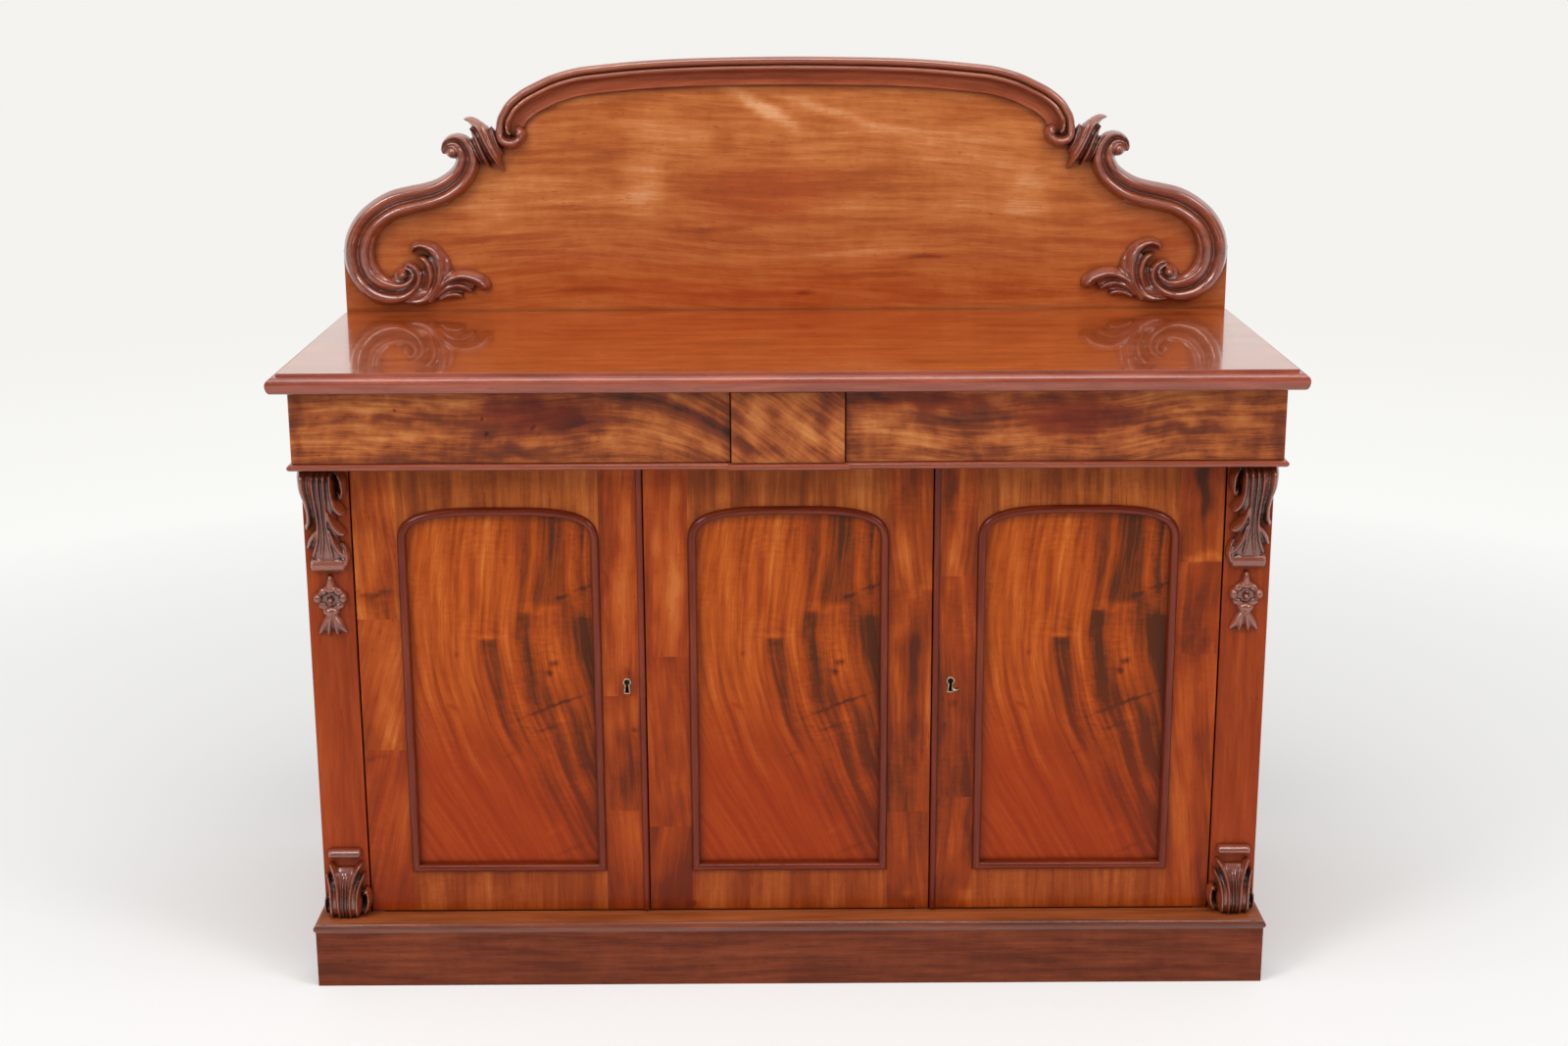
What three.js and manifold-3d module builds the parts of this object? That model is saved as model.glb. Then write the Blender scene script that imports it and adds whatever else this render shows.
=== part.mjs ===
// Chiffonier: a mahogany cupboard with three doors, three frieze drawers and a carved splashback.
// Millimetres, +Z up, the front faces -Y, the origin lies on the floor under the middle of the piece.
import * as THREE from "three";
import { mergeVertices } from "three/addons/utils/BufferGeometryUtils.js";
import Module from "manifold-3d";

const wasm = await Module();
wasm.setup();

// Fits between pieces
const glueGap = 0.3;
const runningGap = 0.3;
const overrun = 5;

// Work surface
const topWidth = 1450;
const topDepth = 578;
const topHeight = 930;
const topThickness = 28;
const topLip = 13.5;
const topStep = 4;
const topTipDrop = 15;

// Frieze and its three drawers
const friezeInset = 25.5;
const friezeHeight = 104;
const beadHeight = 10;
const beadProjection = 6;
const drawerFrontThickness = 18;
const drawerTopGap = 2;
const centreFrontHalfWidth = 79.5;
const centreBreak = 8;
const frontGap = 1.5;
const centreBeadReturn = 6.5;
const drawerWall = 10;
const drawerBottom = 6;
const drawerSideGap = 1;
const drawerHeadroom = 12;
const drawerBackGap = 16;
const dustBoardThickness = 12;
const dividerThickness = 14;

// Cupboard carcase
const carcaseInset = 30;
const cupboardSetback = 61;
const sideThickness = 20;
const backThickness = 12;
const backRebate = 5;
const bottomThickness = 18;
const partitionThickness = 18;
const shelfThickness = 18;
const shelfHeight = 440;
const shelfSetback = 50;
const innerFrontGap = 7;
const pilasterWidth = 67;

// Doors
const doorThickness = 22;
const doorSideGap = 2.5;
const doorGap = 1.5;
const doorFootGap = 3;
const doorHeadGap = 4;
const stileWidth = 63;
const bottomRailHeight = 62;
const topRailHeight = 58.5;
const archRise = 60.5;
const archSquareness = 3.4;
const archSteps = 20;
const panelRebate = 8;
const panelSetback = 6;
const panelThickness = 10;
const mouldingWidth = 12.5;
const mouldingProud = 7;
const sharpestMitreShare = 0.5;
const closingBeadWidth = 9;
const closingBeadProud = 4;

// Pivots, locks and keyholes
const pinInset = 14;
const pinDepth = 5;
const pinRadius = 2.5;
const pinSides = 16;
const pinLength = 10;
const pinClearance = 0.3;
const pivotPlateLength = 24;
const pivotPlateWidth = 8;
const pivotPlateThickness = 1.6;
const keyInset = 27;
const keyHeight = 352;
const keyholeHeight = 24;
const keyholeHead = 6;
const keyholeRim = 2;
const keyholeFootShare = 0.85;
const escutcheonDepth = 2;
const escutcheonProud = 0.5;
const lockWidth = 42;
const lockHeight = 60;
const lockSetback = 9;
const lockFrontWall = 3;
const boltThickness = 6;
const boltHeight = 13;
const boltLength = 31;
const boltTravel = 8;
const boltRise = 16;
const mortiseClearance = 1.5;

// Plinth
const plinthHeight = 100;
const plinthFrontInset = 19.5;
const plinthSideInset = 21;
const plinthEdgeHeight = 14;
const plinthEdgeProud = 3;
const plinthEdgeSetback = 1;
const plinthWall = 22;
const plinthFrontLedge = 90;
const plinthSideLedge = 60;

// Splashback and its planted carving
const splashHeight = 403;
const splashThickness = 26;
const scrollHalfWidth = 24;
const scrollRelief = 22;
const leafHalfWidth = 11;
const leafRelief = 17;
const archMouldingWidth = 44;
const archMouldingRelief = 18;
const eyeRadius = 10;
const voluteRadius = 25;
const voluteShares = { squash: 0.8, eye: 0.8, eyeRise: 0.33 };
const knotLeafShares = { width: 1.2, height: 1.3 };
const carvingFitGap = 0.5;

// Carving planted on the pilasters
const corbelHeight = 133;
const corbelHalfWidth = 27;
const corbelProjection = 34;
const barHeight = 22;
const barHalfWidth = 26.5;
const barProjection = 12;
const carvedGround = 4;
const dropHeight = 92;
const dropHalfWidth = 20;
const dropGap = 7;
const petalRadius = 7;
const dropRelief = 9;
const footHeight = 93;
const footHalfWidth = 32;
const footProjection = 33;

// Planes shared by neighbouring pieces
const back = topDepth / 2;
const topUnderside = topHeight - topThickness;
const friezeFront = -topDepth / 2 + friezeInset;
const friezeHalfWidth = topWidth / 2 - friezeInset;
const friezeBottom = topUnderside - friezeHeight;
const beadBottom = friezeBottom - beadHeight;
const drawerFrontBack = friezeFront + drawerFrontThickness;
const dustBoardTop = beadBottom + dustBoardThickness;
const carcaseHalfWidth = topWidth / 2 - carcaseInset;
const innerHalfWidth = carcaseHalfWidth - sideThickness;
const cupboardFront = -topDepth / 2 + cupboardSetback;
const doorBack = cupboardFront + doorThickness;
const innerFront = doorBack + innerFrontGap;
const carcaseBack = back - backRebate;
const innerBack = carcaseBack - backThickness;
const bottomTop = plinthHeight + bottomThickness;
const pilasterEdge = carcaseHalfWidth - pilasterWidth;
const doorWidth = (2 * (pilasterEdge - doorSideGap - doorGap)) / 3;
const doorHalf = doorWidth / 2;
const doorPitch = doorWidth + doorGap;
const doorFoot = plinthHeight + doorFootGap;
const doorHead = beadBottom - doorHeadGap;
const panelFront = cupboardFront + panelSetback;
const panelBack = panelFront + panelThickness;
const openingHalf = doorHalf - stileWidth;
const openingFoot = doorFoot + bottomRailHeight;
const openingCrown = doorHead - topRailHeight;
const openingShoulder = openingCrown - archRise;
const splashFront = back - splashThickness;
const splashHalfWidth = topWidth / 2 - topLip;
const carvingBack = splashFront - glueGap;
const pilasterCarvingBack = cupboardFront - glueGap;

// Finishes
function finish(color, roughness, metalness = 0) {
  return new THREE.MeshStandardMaterial({ color, roughness, metalness });
}
const polished = finish("#9c3f1a", 0.25);
const veneer = finish("#b4521f", 0.25);
const dark = finish("#6e2c20", 0.3);
const plain = finish("#8a5a3c", 0.7);
const brass = finish("#c9a65a", 0.3, 1);
const steel = finish("#6f6a64", 0.45, 1);

// Closed shells from rings of points, and the cuts and joins made with them
function outward(positions, faces) {
  let volume = 0;
  const [a, b, c] = [new THREE.Vector3(), new THREE.Vector3(), new THREE.Vector3()];
  for (const [i, j, k] of faces) {
    a.fromArray(positions, i * 3);
    b.fromArray(positions, j * 3);
    c.fromArray(positions, k * 3);
    volume += a.dot(b.cross(c));
  }
  const index = volume < 0 ? faces.map(([i, j, k]) => [i, k, j]) : faces;
  const geometry = new THREE.BufferGeometry();
  geometry.setAttribute("position", new THREE.Float32BufferAttribute(positions, 3));
  geometry.setIndex(index.flat());
  return geometry;
}

// Rings of equal length joined in order; the ends are capped unless the rings close on themselves.
function shell(rings, capOutline = null) {
  const size = rings[0].length;
  const positions = rings.flat().flatMap((point) => point.toArray());
  const faces = [];
  const last = capOutline ? rings.length - 1 : rings.length;
  for (let r = 0; r < last; r += 1) {
    const next = (r + 1) % rings.length;
    for (let i = 0; i < size; i += 1) {
      const j = (i + 1) % size;
      faces.push([r * size + i, r * size + j, next * size + j]);
      faces.push([r * size + i, next * size + j, next * size + i]);
    }
  }
  if (capOutline) {
    const cap = THREE.ShapeUtils.triangulateShape(capOutline, []);
    const end = (rings.length - 1) * size;
    const firstSense = THREE.ShapeUtils.isClockWise(capOutline);
    for (const [i, j, k] of cap) {
      faces.push(firstSense ? [i, j, k] : [i, k, j]);
      faces.push(firstSense ? [end + i, end + k, end + j] : [end + i, end + j, end + k]);
    }
  }
  return outward(positions, faces);
}

function solid(geometry) {
  const bare = geometry.clone();
  bare.deleteAttribute("normal");
  bare.deleteAttribute("uv");
  const merged = mergeVertices(bare);
  return new wasm.Manifold(new wasm.Mesh({
    numProp: 3,
    vertProperties: new Float32Array(merged.attributes.position.array),
    triVerts: new Uint32Array(merged.index.array),
  }));
}

function surface(body) {
  const mesh = body.getMesh();
  const geometry = new THREE.BufferGeometry();
  geometry.setAttribute("position", new THREE.BufferAttribute(mesh.vertProperties, mesh.numProp));
  geometry.setIndex(new THREE.BufferAttribute(mesh.triVerts, 1));
  return geometry;
}

function join(...pieces) {
  return surface(pieces.map(solid).reduce((whole, piece) => whole.add(piece)));
}

function cut(piece, ...tools) {
  return surface(tools.map(solid).reduce((rest, tool) => rest.subtract(tool), solid(piece)));
}

// A box given by its six planes
function block(x0, x1, y0, y1, z0, z1) {
  const geometry = new THREE.BoxGeometry(1, 1, 1);
  const place = geometry.attributes.position;
  for (let i = 0; i < place.count; i += 1) {
    const x = place.getX(i) < 0 ? x0 : x1;
    const y = place.getY(i) < 0 ? y0 : y1;
    const z = place.getZ(i) < 0 ? z0 : z1;
    place.setXYZ(i, x, y, z);
  }
  return geometry;
}

// A flat outline in two directions, carried straight between two planes of the third
function carried(outline, from, to, point) {
  const caps = outline.map(([u, v]) => new THREE.Vector2(u, v));
  return shell([from, to].map((w) => outline.map(([u, v]) => point(u, v, w))), caps);
}
const plate = (outline, y0, y1) => carried(outline, y0, y1, (x, z, y) => new THREE.Vector3(x, y, z));
const post = (outline, z0, z1) => carried(outline, z0, z1, (x, y, z) => new THREE.Vector3(x, y, z));
const bar = (outline, x0, x1) => carried(outline, x0, x1, (y, z, x) => new THREE.Vector3(x, y, z));

// Order of the corners round a four-sided ring, for its caps
const squareShares = [
  new THREE.Vector2(0, 0), new THREE.Vector2(1, 0), new THREE.Vector2(1, 1), new THREE.Vector2(0, 1),
];

// A slab whose front and end edges are worked to a profile, its back edge left square.
// The profile holds pairs of how far the edge stands in and how high it is.
function mouldedSlab(halfWidth, front, rear, profile) {
  const rings = profile.map(([inset, z]) => [
    new THREE.Vector3(-halfWidth + inset, front + inset, z),
    new THREE.Vector3(halfWidth - inset, front + inset, z),
    new THREE.Vector3(halfWidth - inset, rear, z),
    new THREE.Vector3(-halfWidth + inset, rear, z),
  ]);
  return shell(rings, squareShares);
}

function mirrored(geometry) {
  const place = geometry.attributes.position.clone();
  for (let i = 0; i < place.count; i += 1) {
    place.setX(i, -place.getX(i));
  }
  const faces = [];
  for (let i = 0; i < geometry.index.count; i += 3) {
    faces.push(geometry.index.getX(i), geometry.index.getX(i + 2), geometry.index.getX(i + 1));
  }
  const twin = new THREE.BufferGeometry();
  twin.setAttribute("position", place);
  twin.setIndex(faces);
  return twin;
}

// Points of a quarter or half round, from one angle to another
function roundPoints(radius, start, end, steps) {
  return Array.from({ length: steps + 1 }, (_, i) => {
    const angle = start + ((end - start) * i) / steps;
    return [radius * Math.cos(angle), radius * Math.sin(angle)];
  });
}

// Scene graph
const chiffonier = new THREE.Group();

function add(group, name, geometry, material) {
  const mesh = new THREE.Mesh(geometry, material);
  mesh.name = name;
  group.add(mesh);
  return mesh;
}

// Plinth: a frame of boards with a moulded upper edge, open beneath, its top a ledge for the carcase.
// The shares give how far the moulding stands out and how high up its height.
const plinthEdgeShares = [[0.5, 0], [1, 0.25], [1, 0.5], [0.5, 0.8]];
function plinth() {
  const edgeBottom = plinthHeight - plinthEdgeHeight;
  const halfWidth = topWidth / 2 - plinthSideInset;
  const front = -topDepth / 2 + plinthFrontInset;
  const profile = [
    [0, 0],
    [0, edgeBottom],
    ...plinthEdgeShares.map(([out, up]) => [-plinthEdgeProud * out, edgeBottom + plinthEdgeHeight * up]),
    [plinthEdgeSetback, plinthHeight],
  ];
  const hollowHalf = halfWidth - plinthWall;
  const hollow = block(-hollowHalf, hollowHalf, front + plinthWall, back - plinthWall, -overrun, edgeBottom);
  const wellHalf = halfWidth - plinthSideLedge;
  const wellFront = front + plinthFrontLedge;
  const wellBack = back - plinthSideLedge;
  const well = block(-wellHalf, wellHalf, wellFront, wellBack, -overrun, plinthHeight + overrun);
  return cut(mouldedSlab(halfWidth, front, back, profile), hollow, well);
}
add(chiffonier, "plinth", plinth(), dark);

// Carcase: two sides, a bottom, a partition right of the middle, a back and two shelves
const partitionCentre = doorHalf + doorGap / 2;
const partitionLeft = partitionCentre - partitionThickness / 2;
const partitionRight = partitionCentre + partitionThickness / 2;
for (const [name, x0, x1] of [
  ["side_left", -carcaseHalfWidth, -innerHalfWidth],
  ["side_right", innerHalfWidth, carcaseHalfWidth],
]) {
  add(chiffonier, name, block(x0, x1, doorBack, carcaseBack, plinthHeight, beadBottom), polished);
}
const fullWidth = [-innerHalfWidth, innerHalfWidth];
add(chiffonier, "bottom_board", block(...fullWidth, innerFront, innerBack, plinthHeight, bottomTop), plain);
add(chiffonier, "back_panel", block(...fullWidth, innerBack, carcaseBack, plinthHeight, topUnderside), plain);
const partitionSpan = [partitionLeft, partitionRight];
add(chiffonier, "partition", block(...partitionSpan, innerFront, innerBack, bottomTop, beadBottom), plain);
for (const [name, x0, x1] of [
  ["shelf_left", -innerHalfWidth, partitionLeft],
  ["shelf_right", partitionRight, innerHalfWidth],
]) {
  const shelfTop = shelfHeight + shelfThickness;
  const shelf = block(x0, x1, innerFront + shelfSetback, innerBack, shelfHeight, shelfTop);
  add(chiffonier, name, shelf, plain);
}

// Frieze frame: the dust board, the two cheeks with their bead, and the dividers between the drawers
const dividerCentre = centreFrontHalfWidth + frontGap / 2;
const dividerInner = dividerCentre - dividerThickness / 2;
const dividerOuter = dividerCentre + dividerThickness / 2;
const beadRadius = beadHeight / 2;

// Half round of the bead as steps out and up
function beadProfile(reach) {
  const steps = 6;
  return roundPoints(1, -Math.PI / 2, Math.PI / 2, steps).map(([outShare, upShare]) => [
    reach - beadProjection * outShare,
    beadBottom + beadRadius * (1 + upShare),
  ]);
}

function friezeFrame() {
  const pieces = [block(...fullWidth, drawerFrontBack, innerBack, beadBottom, dustBoardTop)];
  const cheekBead = beadProfile(0).map(([inset, z]) => [friezeHalfWidth - inset, z]);
  const cheek = [
    [innerHalfWidth, beadBottom],
    [friezeHalfWidth, beadBottom],
    ...cheekBead.slice(1, -1),
    [friezeHalfWidth, friezeBottom],
    [friezeHalfWidth, topUnderside],
    [innerHalfWidth, topUnderside],
  ];
  for (const side of [-1, 1]) {
    const outline = cheek.map(([x, z]) => [side * x, z]);
    pieces.push(plate(outline, drawerFrontBack, carcaseBack));
    const span = [side * dividerInner, side * dividerOuter].sort((a, b) => a - b);
    pieces.push(block(...span, drawerFrontBack, innerBack, beadBottom, topUnderside));
  }
  return join(...pieces);
}
add(chiffonier, "frieze_frame", friezeFrame(), polished);

// Work surface: its front and ends worked to a thumb moulding under a small step
function topBoard() {
  const tip = topHeight - topTipDrop;
  const stepFoot = topHeight - topStep;
  const upper = roundPoints(1, Math.PI / 2, 0, 5).map(([outShare, upShare]) => [
    topLip * (1 - outShare),
    tip + (stepFoot - tip) * upShare,
  ]);
  const lower = roundPoints(1, 0, -Math.PI / 2, 4).map(([outShare, upShare]) => [
    (topLip / 2) * (1 - outShare),
    tip + (tip - topUnderside) * upShare,
  ]);
  const profile = [[topLip, topHeight], ...upper, ...lower.slice(1)].reverse();
  return mouldedSlab(topWidth / 2, -topDepth / 2, back, profile);
}
add(chiffonier, "top_board", topBoard(), veneer);

// Drawers: a moulded front and a box of sides, back and bottom behind it
function drawerBox(x0, x1) {
  const rear = innerBack - drawerBackGap;
  const foot = dustBoardTop + runningGap;
  const head = topUnderside - drawerHeadroom;
  const outer = block(x0, x1, drawerFrontBack, rear, foot, head);
  const inner = block(
    x0 + drawerWall, x1 - drawerWall, drawerFrontBack - overrun, rear - drawerWall,
    foot + drawerBottom, head + overrun,
  );
  return cut(outer, inner);
}

// The bead under a drawer front, returning at whichever ends are free
function frontBead(x0, x1, face, leftReturn, rightReturn) {
  const rings = beadProfile(0).map(([inset, z]) => [
    new THREE.Vector3(x0 + inset * leftReturn, face + inset, z),
    new THREE.Vector3(x1 - inset * rightReturn, face + inset, z),
    new THREE.Vector3(x1 - inset * rightReturn, drawerFrontBack, z),
    new THREE.Vector3(x0 + inset * leftReturn, drawerFrontBack, z),
  ]);
  return shell(rings, squareShares);
}

const drawerHead = topUnderside - drawerTopGap;
const beadEnd = centreFrontHalfWidth + centreBeadReturn + frontGap;
const sideFrontEnd = centreFrontHalfWidth + frontGap;

function sideDrawerFront() {
  const foot = friezeBottom + runningGap;
  return join(
    block(-friezeHalfWidth, -beadEnd, friezeFront, drawerFrontBack, beadBottom, drawerHead),
    block(-beadEnd - overrun, -sideFrontEnd, friezeFront, drawerFrontBack, foot, drawerHead),
    frontBead(-friezeHalfWidth, -beadEnd, friezeFront, 1, 0),
  );
}

function centreDrawerFront() {
  const face = friezeFront - centreBreak;
  const half = centreFrontHalfWidth;
  const returnShare = centreBeadReturn / beadProjection;
  return join(
    block(-half, half, face, drawerFrontBack, beadBottom, drawerHead),
    frontBead(-half, half, face, returnShare, returnShare),
  );
}

const drawerGroup = { left: new THREE.Group(), centre: new THREE.Group(), right: new THREE.Group() };
const leftBox = drawerBox(-innerHalfWidth + drawerSideGap, -dividerOuter - drawerSideGap);
const leftFront = sideDrawerFront();
add(drawerGroup.left, "drawer_left_front", leftFront, veneer);
add(drawerGroup.left, "drawer_left_box", leftBox, plain);
add(drawerGroup.centre, "drawer_centre_front", centreDrawerFront(), veneer);
const centreBox = drawerBox(-dividerInner + drawerSideGap, dividerInner - drawerSideGap);
add(drawerGroup.centre, "drawer_centre_box", centreBox, plain);
add(drawerGroup.right, "drawer_right_front", mirrored(leftFront), veneer);
const rightBox = drawerBox(dividerOuter + drawerSideGap, innerHalfWidth - drawerSideGap);
add(drawerGroup.right, "drawer_right_box", rightBox, plain);
chiffonier.add(drawerGroup.left, drawerGroup.centre, drawerGroup.right);

// Doors: each is drawn about its own middle and then placed across the front
const pinY = cupboardFront + pinDepth;

// Half of the flat arch over a door's panel, from one springing to the other
function archPoints(half, shoulder, rise) {
  return Array.from({ length: archSteps + 1 }, (_, i) => {
    const angle = (Math.PI * i) / archSteps;
    const power = 2 / archSquareness;
    const across = Math.sign(Math.cos(angle)) * Math.abs(Math.cos(angle)) ** power;
    const up = Math.sin(angle) ** power;
    return [half * across, shoulder + rise * (i === 0 || i === archSteps ? 0 : up)];
  });
}

// A stile is rebated behind for the panel; a closing stile may carry a half-round bead on its edge.
// Side 1 has the door's edge on the right.
function stile(side, beaded) {
  const edge = side * doorHalf;
  const lip = side * openingHalf;
  const rebate = side * (openingHalf + panelRebate);
  const beadMiddle = side * (doorHalf - closingBeadWidth / 2);
  const bead = roundPoints(1, 0, Math.PI, 8).map(([outShare, upShare]) => [
    beadMiddle + side * (closingBeadWidth / 2) * outShare,
    cupboardFront - closingBeadProud * upShare,
  ]);
  return [
    [rebate, doorBack],
    [edge, doorBack],
    ...(beaded ? bead : [[edge, cupboardFront]]),
    [lip, cupboardFront],
    [lip, panelFront],
    [rebate, panelFront],
  ];
}

function pinHole(side) {
  const x = side * (doorHalf - pinInset);
  const hole = roundPoints(pinRadius + pinClearance, 0, 2 * Math.PI, pinSides).slice(0, -1);
  const outline = hole.map(([u, v]) => [x + u, pinY + v]);
  const depth = pinLength + pinClearance;
  return [
    post(outline, doorFoot - overrun, doorFoot + depth),
    post(outline, doorHead - depth, doorHead + overrun),
  ];
}

// Outline of a keyhole: a round head over a foot that spreads a little
function keyholeOutline(margin) {
  const head = keyholeHead - margin;
  const middle = keyHeight + doorFoot;
  const headUp = keyholeHeight / 2 - keyholeHead;
  const neck = -Math.PI / 3;
  const round = roundPoints(head, neck, Math.PI - neck, 10);
  const footHalf = keyholeHead * keyholeFootShare - margin;
  const foot = middle - keyholeHeight / 2 + margin;
  return [
    ...round.map(([x, z]) => [x, middle + headUp + z]),
    [-footHalf, foot],
    [footHalf, foot],
  ];
}

const lockFront = cupboardFront + lockSetback;
const lockFoot = doorFoot + keyHeight - lockHeight / 2;
const lockHead = lockFoot + lockHeight;
const boltFront = lockFront + lockFrontWall;
const boltFoot = doorFoot + keyHeight + boltRise - boltHeight / 2;

// Everything at the lock that is drawn from the closing edge, side 1 having that edge on the right
function fromEdge(side, near, far) {
  return [side * (doorHalf - far), side * (doorHalf - near)].sort((a, b) => a - b);
}

function keyPlate(side, margin, y0, y1) {
  const x = side * (doorHalf - keyInset);
  return plate(keyholeOutline(margin).map(([u, z]) => [x + u, z]), y0, y1);
}

function lockedStile(side) {
  const pocket = block(
    ...fromEdge(side, -overrun, lockWidth), lockFront, doorBack + overrun, lockFoot, lockHead,
  );
  const seatDepth = cupboardFront + escutcheonDepth;
  return cut(
    post(stile(side, true), doorFoot, doorHead),
    pocket,
    keyPlate(side, -glueGap, cupboardFront - overrun, seatDepth),
    keyPlate(side, keyholeRim, cupboardFront - overrun, lockFront + overrun),
  );
}

function lockCase(side) {
  const body = block(
    ...fromEdge(side, glueGap, lockWidth - glueGap), lockFront + glueGap, doorBack,
    lockFoot + glueGap, lockHead - glueGap,
  );
  const channel = block(
    ...fromEdge(side, -overrun, boltLength + runningGap), boltFront, boltFront + boltThickness,
    boltFoot, boltFoot + boltHeight,
  );
  return cut(body, channel, keyPlate(side, keyholeRim, lockFront - overrun, boltFront + boltThickness));
}

function lockBolt(side) {
  return block(
    ...fromEdge(side, glueGap, boltLength), boltFront + runningGap, boltFront + boltThickness - runningGap,
    boltFoot + runningGap, boltFoot + boltHeight - runningGap,
  );
}

// A mortise in the middle door's edge that takes a neighbour's bolt
function boltMortise(side) {
  return block(
    ...fromEdge(side, -overrun, boltTravel), boltFront - mortiseClearance,
    boltFront + boltThickness + mortiseClearance, boltFoot - mortiseClearance,
    boltFoot + boltHeight + mortiseClearance,
  );
}

function bottomRail() {
  const deep = openingHalf + panelRebate;
  return join(
    block(-openingHalf, openingHalf, cupboardFront, doorBack, doorFoot, openingFoot - panelRebate),
    block(-openingHalf, openingHalf, cupboardFront, panelFront, doorFoot, openingFoot),
    block(-deep, deep, panelFront, doorBack, doorFoot, openingFoot - panelRebate),
  );
}

function topRail() {
  const deep = openingHalf + panelRebate;
  const arch = archPoints(openingHalf, openingShoulder, archRise);
  const outline = [[openingHalf, doorHead], ...arch, [-openingHalf, doorHead]];
  const panelHead = openingCrown + panelRebate;
  return join(
    plate(outline, cupboardFront, panelFront),
    block(-openingHalf, openingHalf, cupboardFront, doorBack, panelHead, doorHead),
    block(-deep, deep, panelFront, doorBack, panelHead, doorHead),
  );
}

// Half-round moulding planted in the angle between frame and panel, mitred at the foot
function panelMoulding() {
  const outer = [
    [-openingHalf, openingFoot],
    [openingHalf, openingFoot],
    ...archPoints(openingHalf, openingShoulder, archRise),
  ];
  const seat = panelFront - glueGap;
  const base = panelSetback - glueGap;
  const round = roundPoints(1, Math.PI, 0, 6).map(([outShare, upShare]) => [
    glueGap + (mouldingWidth / 2) * (1 + outShare),
    base + mouldingProud * upShare,
  ]);
  const section = [[glueGap, 0], ...round, [glueGap + mouldingWidth, 0]];
  const rings = outer.map(([x, z], i) => {
    const [px, pz] = outer[(i + outer.length - 1) % outer.length];
    const [nx, nz] = outer[(i + 1) % outer.length];
    const before = new THREE.Vector2(x - px, z - pz).normalize();
    const after = new THREE.Vector2(nx - x, nz - z).normalize();
    const inward = new THREE.Vector2(-before.y - after.y, before.x + after.x).normalize();
    const lean = inward.dot(new THREE.Vector2(-before.y, before.x));
    const stretch = 1 / Math.max(lean, sharpestMitreShare);
    return section.map(([inset, height]) => new THREE.Vector3(
      x + inward.x * inset * stretch,
      seat - height,
      z + inward.y * inset * stretch,
    ));
  });
  return shell(rings);
}

function pivot(side, atFoot) {
  const x = side * (doorHalf - pinInset);
  const plateHalf = pivotPlateLength / 2;
  const outline = roundPoints(pinRadius, 0, 2 * Math.PI, pinSides).slice(0, -1);
  const pinOutline = outline.map(([u, v]) => [x + u, pinY + v]);
  const plateSpan = [pinY - pivotPlateWidth / 2 + pinClearance, pinY + pivotPlateWidth / 2];
  const inner = [x - side * (plateHalf - pinInset / 2), x + side * (pinInset - pinClearance)];
  const across = inner.sort((a, b) => a - b);
  if (atFoot) {
    const plateTop = plinthHeight + pivotPlateThickness;
    return join(
      block(...across, ...plateSpan, plinthHeight, plateTop),
      post(pinOutline, plinthHeight + pivotPlateThickness / 2, doorFoot + pinLength),
    );
  }
  const plateFoot = beadBottom - pivotPlateThickness;
  return join(
    block(...across, ...plateSpan, plateFoot, beadBottom),
    post(pinOutline, doorHead - pinLength, beadBottom - pivotPlateThickness / 2),
  );
}

// hinge and lock give the side of each, 0 for a door with no lock of its own
const doorPlans = [
  { name: "left", middle: -doorPitch, hinge: -1, lock: 1 },
  { name: "centre", middle: 0, hinge: 1, lock: 0 },
  { name: "right", middle: doorPitch, hinge: 1, lock: -1 },
];

for (const { name, middle, hinge, lock } of doorPlans) {
  const door = new THREE.Group();
  door.position.x = middle;
  for (const side of [-1, 1]) {
    const sideName = side < 0 ? "left" : "right";
    let piece = side === lock ? lockedStile(side) : post(stile(side, false), doorFoot, doorHead);
    if (side === hinge) {
      piece = cut(piece, ...pinHole(side));
    }
    if (lock === 0) {
      piece = cut(piece, boltMortise(side));
    }
    add(door, `door_${name}_stile_${sideName}`, piece, polished);
  }
  add(door, `door_${name}_top_rail`, topRail(), polished);
  add(door, `door_${name}_bottom_rail`, bottomRail(), polished);
  const panelHalf = openingHalf + panelRebate - glueGap;
  const panelFoot = openingFoot - panelRebate + glueGap;
  const panelHead = openingCrown + panelRebate - glueGap;
  const panel = block(-panelHalf, panelHalf, panelFront, panelBack, panelFoot, panelHead);
  add(door, `door_${name}_panel`, panel, veneer);
  add(door, `door_${name}_moulding`, panelMoulding(), dark);
  if (lock !== 0) {
    const plateBack = cupboardFront + escutcheonDepth - glueGap;
    const escutcheon = cut(
      keyPlate(lock, 0, cupboardFront - escutcheonProud, plateBack),
      keyPlate(lock, keyholeRim, cupboardFront - overrun, plateBack + overrun),
    );
    add(door, `escutcheon_${name}`, escutcheon, brass);
    add(door, `lock_case_${name}`, lockCase(lock), steel);
    add(door, `lock_bolt_${name}`, lockBolt(lock), brass);
  }
  chiffonier.add(door);
  const pivots = new THREE.Group();
  pivots.position.x = middle;
  add(pivots, `pivot_${name}_foot`, pivot(hinge, true), brass);
  add(pivots, `pivot_${name}_head`, pivot(hinge, false), brass);
  chiffonier.add(pivots);
}

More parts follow.
